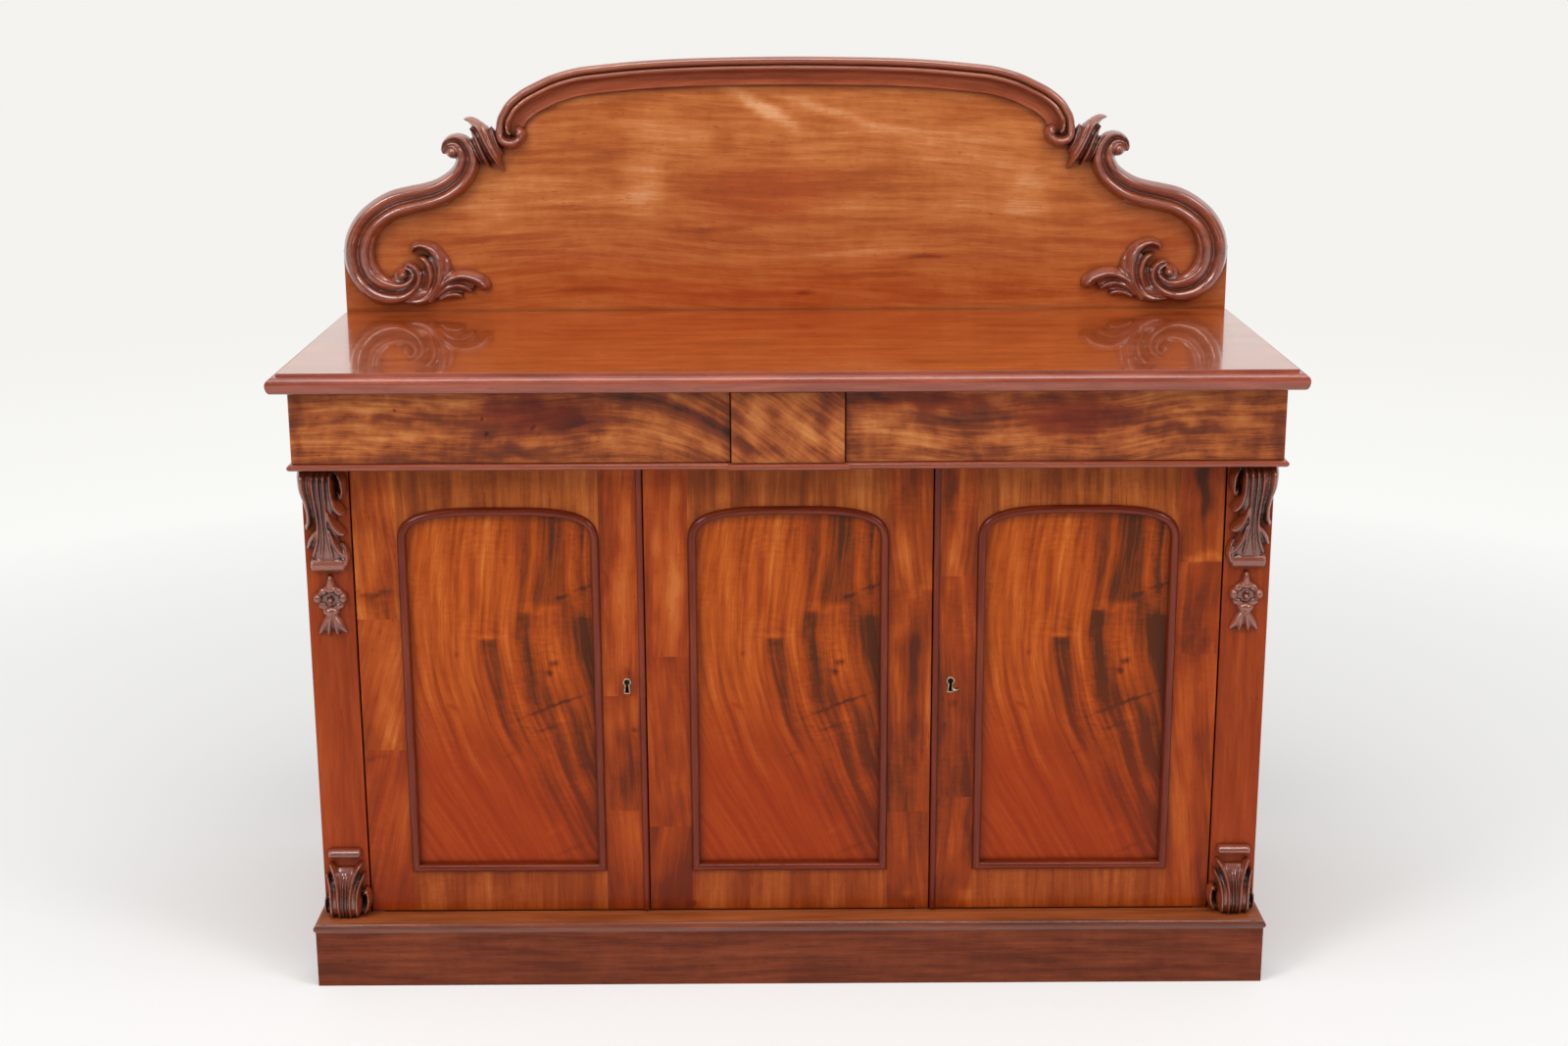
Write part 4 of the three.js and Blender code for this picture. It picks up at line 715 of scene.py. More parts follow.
def arch_line(half, crown, count):
    """The flat arch from its right springing to its left: a superellipse, whose two shares, each raised to
    the arch's squareness, add up to one."""
    turn = run(0, math.pi, count)
    across = np.sign(np.cos(turn)) * np.abs(np.cos(turn)) ** (2 / arch_square)
    up = np.sin(turn).clip(0) ** (2 / arch_square)
    return np.stack([half * across, crown - arch_rise + arch_rise * up], -1)


key_inset, key_height, key_reach, key_head, key_foot_share, key_rim = 0.027, 0.352, 0.012, 0.006, 0.85, 0.002
lock_case_width, lock_case_half, lock_front_wall, clearance = 0.042, 0.030, 0.009, 0.004
pin_inset, pin_depth, pin_hole, pin_length = 0.014, 0.005, 0.0028, 0.0103
mortise_depth, mortise_front, mortise_rear, mortise_low, mortise_high = 0.008, 0.0105, 0.0195, 0.008, 0.024


def keyhole(middle_x, middle_z, margin, count=24):
    """Outline of a keyhole: most of a circle over two lines that spread to a flat foot."""
    turn = run(-math.pi / 3, math.pi * 4 / 3, count)
    head = key_head - margin
    foot_half, foot = key_head * key_foot_share - margin, -key_reach + margin
    arc = np.stack([head * np.cos(turn), key_reach - key_head + head * np.sin(turn)], -1)
    return np.vstack([arc, [(-foot_half, foot), (foot_half, foot)]]) + (middle_x, middle_z)


def stile(door, side, low, high, hinge, lock):
    """The stile's outline stands at each of its heights. Where two patches of veneer meet the height comes
    twice, and each patch starts at another place in the grain. Cut out are the holes for the pivots' pins,
    the bed of the lock with its keyhole, or the mortises for the neighbours' bolts."""
    foot, head = low.z, high.z
    edge, name = (high.x, "right") if side > 0 else (low.x, "left")
    outline, is_bead = stile_section(side, edge - side * stile_width, edge, side == lock)
    patches = stile_patches[door, name]
    ends = [start for start, *_ in patches[1:]] + [head]
    rows = []
    for number, ((start, tone, warmth, lean), end) in enumerate(zip(patches, ends)):
        line = run(max(start, foot), end, max(int((end - start) / patch_step), 4))
        jump = patch_shift * number - lean * (line - start)
        rows.append(np.stack([line, jump, np.full(len(line), tone), np.full(len(line), warmth)]))
    height, jump, tone, warmth = np.hstack(rows)[..., None]
    whole = (len(height), len(outline))
    points = np.concatenate([np.broadcast_to(outline, (*whole, 2)),
                             np.broadcast_to(height[..., None], (*whole, 1))], -1)
    grain = np.stack([walked(outline) + edge * 3 + jump, np.broadcast_to(height + jump, whole)], -1)
    shade = tone + clouds(points[..., [0, 2]], door_spots)
    sheet = {"points": points, "grain": grain, "shade": shade, "warmth": warmth, "finish": is_bead,
             "closed": True}
    made = piece(f"{door}_door_stile_{name}", [sheet], [stile_finish, moulding_finish], f"door_{door}",
                 [f"door_{door}_stile_{name}"], crease=32)
    cutters = []
    if side == hinge:
        turn = run(0, 2 * math.pi, 25)[:-1]
        ring = np.stack([pin_hole * np.cos(turn), pin_hole * np.sin(turn)], -1)
        ring += (edge - side * pin_inset, door_front + pin_depth)
        cutters += [prism(ring, foot - clearance, foot + pin_length, "z"),
                    prism(ring, head - pin_length, head + clearance, "z")]
    key_z = foot + key_height
    if side == lock:
        cutters.append(recess(edge, side, lock_case_width, key_z - lock_case_half, key_z + lock_case_half,
                              door_front + lock_front_wall, door_back + clearance))
        cutters.append(prism(keyhole(edge - side * key_inset, key_z, key_rim * 0.6), door_front - clearance,
                             door_front + lock_front_wall + key_rim, "y"))
    if lock == 0:
        cutters.append(recess(edge, side, mortise_depth, key_z + mortise_low, key_z + mortise_high,
                              door_front + mortise_front, door_front + mortise_rear))
    cut_away(made, cutters)


def rail(door, name, middle, places, lips, outer, seat, count, grain_start, warmth):
    """A rail as rings along its length. A ring runs over the front face from the door's edge to the opening's
    lip, in to the panel's rebate, and round the back; beyond the opening only the tongue behind the stiles is
    left. The lip follows the arch in the top rail and is straight in the bottom one."""
    back = [(door_back, seat), (door_back, outer)]
    tongue = [(panel_front, outer)] * (count - 1) + [(panel_front, seat)] * 3 + back + [(panel_front, outer)]
    rings = [[(door_front, z) for z in run(outer, lip, count)]
             + [(panel_front, lip), (panel_front, seat), *back, (door_front, outer)] for lip in lips]
    section = np.array([tongue, tongue, *rings, tongue, tongue])
    half, reach = places[-1], places[-1] + panel_rebate
    x = np.concatenate([[-reach, -half], places, [half, reach]])[:, None] + middle
    points = np.stack([np.broadcast_to(x, section.shape[:2]), section[..., 0], section[..., 1]], -1)
    grain = np.stack([points[..., 0] + grain_start, points[..., 2] + points[..., 1]], -1)
    shade = clouds(points[..., [0, 2]], door_spots)
    sheet = {"points": points, "grain": grain, "shade": shade, "warmth": warmth, "closed": True}
    piece(f"{door}_door_{name}", [sheet], [rail_finish], f"door_{door}",
          [f"door_{door}_{name}"], crease=40)


# Figure of the panels, which is the same on all three: the veneers were cut from one log. Each ribbon has its
# place across where the grain stands upright, its half width, the drop at which it starts and ends, how soft
# these two ends are, and its depth; all are shares of the panel's width and height.
panel_ribbons = (
    (0.43, 0.034, 0.36, 0.64, 0.01, 0.1, -0.34), (0.615, 0.034, 0.29, 0.56, 0.01, 0.1, -0.42),
    (0.63, 0.03, 0.6, 0.9, 0.1, 0.1, -0.26), (0.73, 0.075, -0.1, 0.268, 0.02, 0.012, -0.2),
    (0.635, 0.016, 0.03, 0.28, 0.05, 0.01, 0.14), (0.83, 0.018, 0.03, 0.24, 0.05, 0.02, 0.2),
    (0.89, 0.018, 0.0, 0.25, 0.05, 0.02, -0.24), (0.53, 0.02, 0.33, 0.66, 0.08, 0.1, 0.17),
    (0.51, 0.012, 0.05, 0.33, 0.1, 0.1, 0.08), (0.56, 0.016, 0.05, 0.26, 0.1, 0.04, -0.12),
    (0.73, 0.06, 0.3, 0.52, 0.02, 0.04, 0.08), (0.9, 0.036, 0.3, 0.64, 0.02, 0.1, -0.34),
    (0.69, 0.018, 0.56, 0.84, 0.03, 0.1, 0.2), (0.6, 0.016, 0.57, 0.74, 0.03, 0.1, 0.14),
    (0.78, 0.03, 0.56, 0.85, 0.05, 0.1, -0.16), (0.14, 0.011, 0.45, 1.1, 0.2, 0.1, -0.2),
    (0.235, 0.012, 0.4, 1.1, 0.2, 0.1, -0.18), (0.36, 0.013, 0.45, 0.97, 0.1, 0.1, -0.2),
    (0.47, 0.018, 0.62, 0.97, 0.1, 0.1, -0.16), (0.2, 0.018, 0.12, 0.62, 0.1, 0.2, 0.1),
    (0.29, 0.018, 0.08, 0.56, 0.1, 0.2, 0.11), (0.08, 0.02, 0.3, 0.7, 0.1, 0.1, 0.07),
    (0.41, 0.014, 0.08, 0.34, 0.1, 0.05, 0.08), (0.35, 0.01, 0.1, 0.4, 0.1, 0.1, -0.07),
    (0.02, 0.016, 0.1, 0.6, 0.1, 0.2, -0.06), (0.3, 0.014, 0.65, 1.1, 0.1, 0.1, 0.08),
    (0.41, 0.022, 0.74, 1.1, 0.1, 0.1, -0.14), (0.52, 0.026, 0.72, 1.08, 0.06, 0.1, -0.2),
    (0.58, 0.014, 0.86, 1.1, 0.04, 0.1, -0.12), (0.66, 0.03, 0.8, 1.1, 0.06, 0.1, -0.16),
    (0.47, 0.012, 0.8, 1.1, 0.08, 0.1, 0.1),
)
panel_marks = (
    (0.44, 0.353, 0.07, 0.007, 0.2), (0.7, 0.285, 0.1, 0.008, 0.12, -4), (0.745, 0.425, 0.022, 0.009, -0.4),
    (0.72, 0.45, 0.02, 0.008, -0.4), (0.79, 0.25, 0.03, 0.006, -0.3, -10),
    (0.9, 0.225, 0.06, 0.004, -0.25, -8), (0.68, 0.55, 0.12, 0.004, -0.25, -12),
    (0.8, 0.525, 0.1, 0.004, -0.25, -10), (0.7, 0.6, 0.06, 0.004, -0.25, -8),
    (0.25, 0.54, 0.03, 0.006, -0.2, 20), (0.28, 0.4, 0.012, 0.008, -0.2),
    (0.86, 0.75, 0.05, 0.02, 0.12, 10), (0.88, 0.7, 0.04, 0.008, -0.2),
    (0.8, 0.93, 0.08, 0.006, -0.18, -12), (0.72, 0.88, 0.05, 0.008, 0.14, -15),
    (0.52, 0.67, 0.04, 0.005, -0.16, -8), (0.03, 0.55, 0.02, 0.3, -0.06), (0.98, 0.9, 0.05, 0.12, -0.14),
    (0.74, 0.76, 0.36, 0.3, -0.11), (0.04, 0.72, 0.12, 0.22, 0.07), (0.81, 0.33, 0.06, 0.06, -0.14),
    (0.85, 0.04, 0.06, 0.05, 0.1), (0.95, 0.3, 0.04, 0.06, 0.08),
)
panel_depths = {"left": 1.0, "centre": 1.1, "right": 1.3}
sweep_start, sweep_reach, sweep_power, fan_end, fan_reach = 0.35, 0.5, 1.7, 0.4, 0.12


def ribbons(across, drop, rows):
    """Streaks along the grain: over the place across each is a Gaussian hill, and down the panel it fades in
    and out on two straight slopes. Two sine waves across make all of them thinner and thicker by turns."""
    total = np.zeros(across.shape)
    for middle, reach, first, last, soft_first, soft_last, depth in rows:
        opening = np.clip((drop - first) / soft_first + 0.5, 0, 1)
        window = opening * np.clip((last - drop) / soft_last + 0.5, 0, 1)
        total += depth * window * np.exp(-((across - middle) / reach) ** 2)
    return total * (0.9 + 0.2 * np.sin(173 * across + 2 * np.sin(5 * drop)) * np.sin(67 * across + 1))


def panel(door, low, high):
    """A veneered panel. Its streaks fan out a little at the head, stand upright below it and sweep to the
    lower right from a third of the way down, with the sweep's power of the drop from there. It is darker to
    the right of the streaks' middle and redder down its left."""
    place = crossing(run(low.x, high.x, 170), run(low.z, high.z, 280))
    width = high.x - low.x
    share = (place[..., 0] - low.x) / width
    drop = (high.z - place[..., 1]) / (high.z - low.z)
    swept = np.clip((drop - sweep_start) / (1 - sweep_start), 0, None) ** sweep_power
    across = share - sweep_reach * swept * (1.1 - 0.3 * share)
    across = across - fan_reach * (1 - share) * np.clip((fan_end - drop) / fan_end, 0, 1) ** 2
    across = across + 0.008 * np.sin(9 * drop + 7 * share) + 0.004 * np.sin(25 * drop + 11 * share)
    depth = panel_depths[door]
    shade = 0.12 - depth * (0.09 + 0.18 * np.clip((across - 0.4) / 0.3, 0, 1))
    shade = shade + depth * ribbons(across, drop, panel_ribbons)
    shade = shade + clouds(np.stack([share, drop], -1), panel_marks, 0.0012)
    warmth = np.clip(1.3 * (1 - across) * np.clip((drop - 0.4) / 0.4, 0, 1), 0, 0.92)
    grain = np.stack([across * width, place[..., 1]], -1)
    piece(f"{door}_door_panel", [board(place, low.y, high.y, grain=grain, shade=shade, warmth=warmth)],
          [panel_finish], f"door_{door}", [f"door_{door}_panel"])


moulding_width, moulding_proud, moulding_root = 0.0125, 0.007, 0.006


def strip(path, outward, section, plane):
    """A strip of one section carried along a line: each point of the section lies its first value outward
    from the line and its second in front of the plane."""
    spot = path[:, None] + outward[:, None] * section[:, :1]
    depth = np.broadcast_to(plane - section[:, 1], spot.shape[:2])
    grain = np.stack(np.meshgrid(walked(section), walked(path)), -1)
    return {"points": np.stack([spot[..., 0], depth, spot[..., 1]], -1), "grain": grain}


def unit(lines):
    """Each row of a list of directions divided by its own length."""
    return lines / np.linalg.norm(lines, axis=1, keepdims=True)


def panel_moulding(door, middle, half, foot, crown):
    """Half-round moulding round the opening. At each point of the closed path the profile is set across the
    line that halves the angle there, and stretched so that it keeps its width: that makes the mitres."""
    arch = arch_line(half, crown, 97)
    path = np.vstack([
        np.stack([run(-half, half, 12), np.full(12, foot)], -1)[:-1],
        np.stack([np.full(16, half), run(foot, arch[0, 1], 16)], -1)[:-1], arch[:-1],
        np.stack([np.full(16, -half), run(arch[-1, 1], foot, 16)], -1)[:-1],
    ]) + (middle, 0)
    before = unit(path - np.roll(path, 1, axis=0))
    after = unit(np.roll(path, -1, axis=0) - path)
    inward = unit((before + after)[:, ::-1] * (-1, 1))
    inward /= np.maximum(inward[:, 1:] * before[:, :1] - inward[:, :1] * before[:, 1:], 0.5)
    turn = run(math.pi, 0, 17)
    swell = np.stack([moulding_width / 2 * (1 + 0.94 * np.cos(turn)),
                      moulding_proud * np.sin(turn) ** 0.9], -1)
    root = (0.0002, -moulding_root)
    section = np.vstack([root, swell, (moulding_width, 0.0004 - moulding_root), root])
    sheet = strip(*(np.concatenate([a, a[:1]]) for a in (path, inward)), section, door_front)
    piece(f"{door}_door_moulding", [sheet], [moulding_finish], f"door_{door}",
          [f"door_{door}_moulding"], crease=40)


def brass(name, tones, roughness):
    """Old lacquered brass or dull steel: metal whose colour and roughness wander with a soft noise."""
    material = bpy.data.materials.new(name)
    bench = Bench(material)
    sockets = bench.tree.nodes["Principled BSDF"].inputs
    wear = bench.noise(bench.node("ShaderNodeTexCoord").outputs["Object"], 260, 4, 0.65)
    bench.feed(sockets["Base Color"], bench.tones(wear, (0.3, 0.45, 0.6, 0.8), tones))
    bench.feed(sockets["Roughness"], bench.sum("ADD", roughness, bench.sum("MULTIPLY", wear, 0.2)))
    bench.feed(sockets["Metallic"], 1.0)
    return material


brass_finish = brass("brass", ("#6f5f4a", "#a8967a", "#c9b99e", "#e4d8c4"), 0.22)
steel_finish = brass("steel", ("#35322e", "#4f4b46", "#67625b", "#817b72"), 0.38)
thread_proud = 0.0008


def escutcheon(door, key_x, key_z):
    """Brass thread round a keyhole: a rounded bar carried round the keyhole's outline."""
    *arc, left, right = keyhole(key_x, key_z, key_rim / 2, 40)
    path = np.vstack([arc, (left + arc[-1]) / 2, run(left, right, 8), arc[:1]])
    ahead = np.roll(path[:-1], -1, axis=0) - np.roll(path[:-1], 1, axis=0)
    outward = unit(np.vstack([ahead, ahead[:1]]))[:, ::-1] * (1, -1)
    turn = run(0, 2 * math.pi, 17)
    section = np.stack([key_rim / 2 * np.cos(turn), thread_proud * np.sin(turn)], -1)
    sheet = strip(path, outward, section, door_front)
    piece(f"escutcheon_thread_{door}", [sheet], [brass_finish], f"door_{door}",
          [f"escutcheon_{door}"], crease=60)


def doors():
    """Hinge and lock name the side of each door that has them, -1 for left and 1 for right. The middle door
    has no lock of its own."""
    for door, hinge, lock in (("left", -1, 1), ("centre", 1, 0), ("right", 1, -1)):
        low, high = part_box(f"door_{door}_stile_left")[0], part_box(f"door_{door}_stile_right")[1]
        for side in (-1, 1):
            stile(door, side, low, high, hinge, lock)
        middle, half = (low.x + high.x) / 2, (high.x - low.x) / 2 - stile_width
        crown, lip = high.z - top_rail_height, low.z + rail_height
        arch = arch_line(half, crown, 61)[::-1]
        rail(door, "top_rail", middle, arch[:, 0], arch[:, 1], high.z, crown + panel_rebate, 11, 5 * middle,
             0.0)
        rail(door, "bottom_rail", middle, run(-half, half, 41), [lip] * 41, low.z, lip - panel_rebate, 9,
             7 * middle + 2, 0.35)
        panel(door, *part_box(f"door_{door}_panel"))
        panel_moulding(door, middle, half, lip, crown)
        if lock:
            edge = high.x if lock > 0 else low.x
            escutcheon(door, edge - lock * key_inset, low.z + key_height)
            refinish(steel_finish, f"lock_case_{door}")
            refinish(brass_finish, f"lock_bolt_{door}")
        refinish(brass_finish, f"pivot_{door}_foot", f"pivot_{door}_head")


doors()

# Pilasters: flat mahogany boards at both ends of the doors, glued to the carcase's front.
# Their grain stands upright, and their lower half has turned a little redder.
pilaster_tones = ("#56220e", "#86340f", "#a04519", "#b65a29")
pilaster_finish = mahogany("pilaster_mahogany", pilaster_tones, 0.3, 0.34, grime_and_shade=0.5)


def pilasters():
    """Each board is redder below half a metre, more so with each part of the 0.4 metres down from there."""
    for name in ("left", "right"):
        low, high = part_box(f"pilaster_{name}")
        place = crossing(run(low.x, high.x, 8), run(low.z, high.z, 60))
        warmth = 0.25 + 0.3 * np.clip((0.5 - place[..., 1]) / 0.4, 0, 1)
        sheet = board(place, low.y, high.y, grain=place + (3 * low.x, 0), warmth=warmth)
        piece(f"{name}_pilaster", [sheet], [pilaster_finish], "carcase", [f"pilaster_{name}"],
              edge=frame_edge)


pilasters()

# Splashback: a mahogany board with its grain level, cut to the outline of the carving glued on it
# and screwed to the back of the work surface. Its outline is in shares of its half width and rise.
splash_low, splash_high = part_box("splashback_board")
splash_half, splash_rise = 0.7115, 0.403
# The palest tone is paled a little to stand for a painted hazy reflection.
splash_tones = ("#662e14", "#a65622", "#c0733a", "#da9f71")
splash_edge_shares = (
    (1, 0.249), (0.971, 0.377), (0.889, 0.47), (0.785, 0.512), (0.734, 0.6), (0.713, 0.653), (0.649, 0.706),
    (0.639, 0.76), (0.607, 0.839), (0.556, 0.894), (0.429, 0.957), (0.237, 0.982), (0, 0.989),
)


def flowing(rows, count):
    """A smooth line through rows of values. Between two rows it follows the cubic that leaves each row with
    half the difference of the rows beside it."""
    rows = np.asarray(rows, float)
    padded = np.vstack([2 * rows[0] - rows[1], rows, 2 * rows[-1] - rows[-2]])
    place = run(0, len(rows) - 1, count)
    first = np.minimum(place.astype(int), len(rows) - 2)
    t = (place - first)[:, None]
    a, b, c, d = (padded[first + k] for k in range(4))
    curve = t ** 2 * (a - 2.5 * b + 2 * c - d / 2) + t ** 3 * (1.5 * (b - c) + (d - a) / 2)
    return b + t * (c - a) / 2 + curve


# Figure of the splashback with painted reflections: the pale hazy patches and the pale streak under the
# arch's crown are painted reflections; the dark streaks and red blotches are the wood's own.
splash_figure_and_sheen = (
    (-0.469, 1.103, 0.045, 0.04, 0.16), (-0.226, 1.14, 0.035, 0.07, 0.2), (0.385, 1.11, 0.04, 0.05, 0.15),
    (-0.034, 1.251, 0.065, 0.011, 0.4, -30), (0.06, 1.25, 0.085, 0.008, 0.25, -17),
    (0.3, 1.2, 0.18, 0.04, 0.1), (-0.03, 1.12, 0.13, 0.045, -0.14), (-0.36, 1.02, 0.12, 0.03, -0.1),
    (0.22, 1.016, 0.035, 0.0035, -0.4), (0.03, 0.957, 0.012, 0.004, -0.35),
    (-0.1, 1.062, 0.06, 0.005, -0.2, 4), (0.12, 0.985, 0.1, 0.005, -0.18, 2),
    (-0.5, 1.045, 0.09, 0.006, -0.2, 5), (-0.3, 0.965, 0.12, 0.006, -0.15),
    (0.45, 1.04, 0.1, 0.006, -0.15, -3), (-0.1, 1.2, 0.02, 0.02, -0.16), (0.0, 0.95, 0.25, 0.012, -0.06),
    (0.4, 0.96, 0.12, 0.01, -0.08), (-0.3, 1.24, 0.1, 0.02, -0.08, 15), (0.42, 1.22, 0.1, 0.02, -0.08, -20),
    (0.1, 1.09, 0.2, 0.012, 0.08),
)
splash_blushes = (
    (-0.03, 1.12, 0.13, 0.05, 0.4), (-0.06, 0.96, 0.3, 0.03, 0.2), (0.56, 1.06, 0.08, 0.06, 0.25),
)


def splash_board():
    """The rows of the board's grid stand at equal shares of the outline's height at each place across. The
    grain waves on two sines across, and the board is redder towards its foot."""
    edge = flowing(splash_edge_shares, 150)
    line = np.vstack([edge * (-1, 1), edge[-2::-1]])
    height = run(0, 1, 130)[:, None] * line[:, 1]
    across = np.broadcast_to(line[:, 0], height.shape)
    place = np.stack([across * splash_half, splash_low.z + height * splash_rise], -1)
    lean = 0.012 * np.sin(place[..., 0] * 4) + 0.004 * np.sin(place[..., 0] * 11 + 2)
    grain = np.stack([place[..., 1] + lean, place[..., 0]], -1)
    warmth = np.clip(0.5 - 1.1 * height, 0, 0.45) + clouds(place, splash_blushes)
    # The wood's dark streaks, with painted reflections in the pale patches and the pale streak under the
    # crown.
    shade = clouds(place, splash_figure_and_sheen, 0.0012)
    finish = mahogany("splash_mahogany", splash_tones, 0.25, 0.3, 0.08, pitch=26, cloud=0.1, roughness=0.34,
                      coat=0.14, polish=0.2, grime_and_shade=0.75, sway=0.04)
    sheet = board(place, splash_low.y, splash_high.y, grain=grain, shade=shade, warmth=warmth)
    piece("splash_board", [sheet], [finish], "carcase", ["splashback_board"], edge=0.0008)


splash_board()

# Scrolls of the splashback: solid mahogany cut with gouges, stained darker, glued to the board. Each is a
# two-roll S curve that ends in a hook above and a volute below, with leaves and a thin thread inside its
# bend.
carved_tones = ("#43170c", "#773118", "#964629", "#b36544")
carved_finish = mahogany("carved_mahogany", carved_tones, 0.2, 0.25, along="x", roughness=0.3, coat=1.0,
                         grime_and_shade=0.95, polish=0.4, gloss=0.13, shine=1.8)
carving_sink, broad_gouge, fine_gouge = 0.001, 0.0013, 0.0011
splash_ground = splash_low.y + carving_sink
on_splash = (0, splash_low.z, -splash_half, splash_rise)


def laid(rows, middle, foot, reach, rise, half_width, relief):
    """Rows of shares turned into places and sizes: across from the middle, up from the foot, half width and
    height."""
    return np.asarray(rows, float) * (reach, rise, half_width, relief) + (middle, foot, 0, 0)


def ridge(rows, section, count, ground):
    """A ridge on a flat ground: a section carried along a flowing path. Each row holds the path's place
    across and up, the ridge's half width and its height; the section holds shares of these two."""
    line = flowing(rows, count)
    ahead = unit(np.gradient(line[:, :2], axis=0))
    wide, tall = np.maximum(line[:, 2:3], 0.0004), np.maximum(line[:, 3:4], 0.0004)
    section = np.vstack([section, section[:1]])
    across = section[:, 0] * wide
    return np.stack([line[:, :1] - ahead[:, 1:] * across, ground - section[:, 1] * tall,
                     line[:, 1:2] + ahead[:, :1] * across], -1)


def dome(x, z, half_width, half_height, relief, ground):
    """A rounded boss: rings that follow a quarter circle from the ground in to the top."""
    turn = run(0, 2 * math.pi, 29)
    rise = run(0, math.pi / 2 - 0.02, 12)[:, None]
    return np.stack([x + half_width * np.cos(turn) * np.cos(rise), ground - relief * np.sin(rise) + 0 * turn,
                     z + half_height * np.sin(turn) * np.cos(rise)], -1)


def rolls(count, dip, edge):
    """Section of rounded rolls side by side, with a groove between each two."""
    across = run(-1, 1, 24 * count + 1)
    wave = np.abs(np.sin((across + 1) / 2 * math.pi * count)) ** 0.75
    rise = (dip + (1 - dip) * wave) * np.clip((1 - np.abs(across)) / edge, 0, 1) ** 0.45
    return np.vstack([[(-1, 0)], np.stack([across, rise], -1)[1:-1], [(1, 0)]])


def blade(power=1.5):
    """Section of a carved leaf ridge: rounded, and steeper towards its two edges."""
    across = run(-1, 1, 17)
    return np.stack([across, (1 - np.abs(across) ** power) ** 0.8], -1)


def carved(name, shapes, nodes, voxel=fine_gouge, smooth=4):
    """Fuses overlapping ridges and bosses into one skin of even cells and softens the meeting lines. The
    shapes are drawn for the left of the piece; the right one is the same skin turned over."""
    sheets = [{"points": shape, "grain": shape[..., [0, 2]], "closed": True} for shape in shapes]
    rough = piece(name, sheets, [], "carcase", [])
    fused = rough.modifiers.new("fused", "REMESH")
    fused.mode, fused.voxel_size = "VOXEL", voxel
    soft = rough.modifiers.new("soft", "SMOOTH")
    soft.factor, soft.iterations = 0.5, smooth
    skin = bpy.data.meshes.new_from_object(rough.evaluated_get(bpy.context.evaluated_depsgraph_get()))
    bpy.data.objects.remove(rough)
    for side, node in zip(("left", "right"), nodes):
        mesh = skin.copy()
        if side == "right":
            places = np.empty(len(mesh.vertices) * 3, np.float32)
            mesh.vertices.foreach_get("co", places)
            places[::3] *= -1
            mesh.vertices.foreach_set("co", places)
            mesh.flip_normals()
        mesh.materials.clear()
        mesh.materials.append(carved_finish)
        mesh.shade_smooth()
        made = bpy.data.objects.new(f"{name}_{side}", mesh)
        bpy.context.scene.collection.objects.link(made)
        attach(made, "carcase")
        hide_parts(node)


scroll_rows = (
    (0.7625, 0.628, 0.08, 0.6), (0.764, 0.645, 0.16, 0.75), (0.7575, 0.669, 0.28, 0.85),
    (0.742, 0.682, 0.42, 0.9), (0.7245, 0.672, 0.6, 0.95), (0.713, 0.641, 0.72, 0.98),
    (0.71, 0.599, 0.82, 1), (0.722, 0.549, 0.86, 1), (0.743, 0.512, 0.88, 1), (0.772, 0.481, 0.9, 1),
    (0.803, 0.462, 0.92, 1), (0.839, 0.448, 0.94, 1), (0.876, 0.431, 0.96, 1), (0.91, 0.4, 0.96, 1),
    (0.94, 0.354, 0.98, 1), (0.959, 0.299, 1, 1), (0.966, 0.245, 1, 1), (0.964, 0.19, 1, 1),
    (0.952, 0.139, 1, 1), (0.93, 0.101, 1, 1), (0.904, 0.083, 0.95, 1), (0.877, 0.081, 0.8, 1),
    (0.854, 0.097, 0.64, 1), (0.839, 0.126, 0.5, 0.95), (0.837, 0.157, 0.4, 0.9), (0.848, 0.18, 0.32, 0.8),
    (0.863, 0.185, 0.26, 0.7),
)
scroll_thread_rows = (
    (0.757, 0.432, 0.06, 0.5), (0.79, 0.42, 0.12, 0.62), (0.83, 0.408, 0.15, 0.68),
    (0.866, 0.393, 0.17, 0.7), (0.893, 0.369, 0.18, 0.72), (0.916, 0.331, 0.19, 0.72),
    (0.93, 0.288, 0.2, 0.72), (0.935, 0.243, 0.2, 0.72), (0.933, 0.2, 0.2, 0.72),
    (0.924, 0.164, 0.19, 0.72), (0.907, 0.137, 0.17, 0.7), (0.89, 0.122, 0.14, 0.66),
)
scroll_half, scroll_relief, leaf_half, leaf_relief = 0.024, 0.022, 0.0095, 0.019
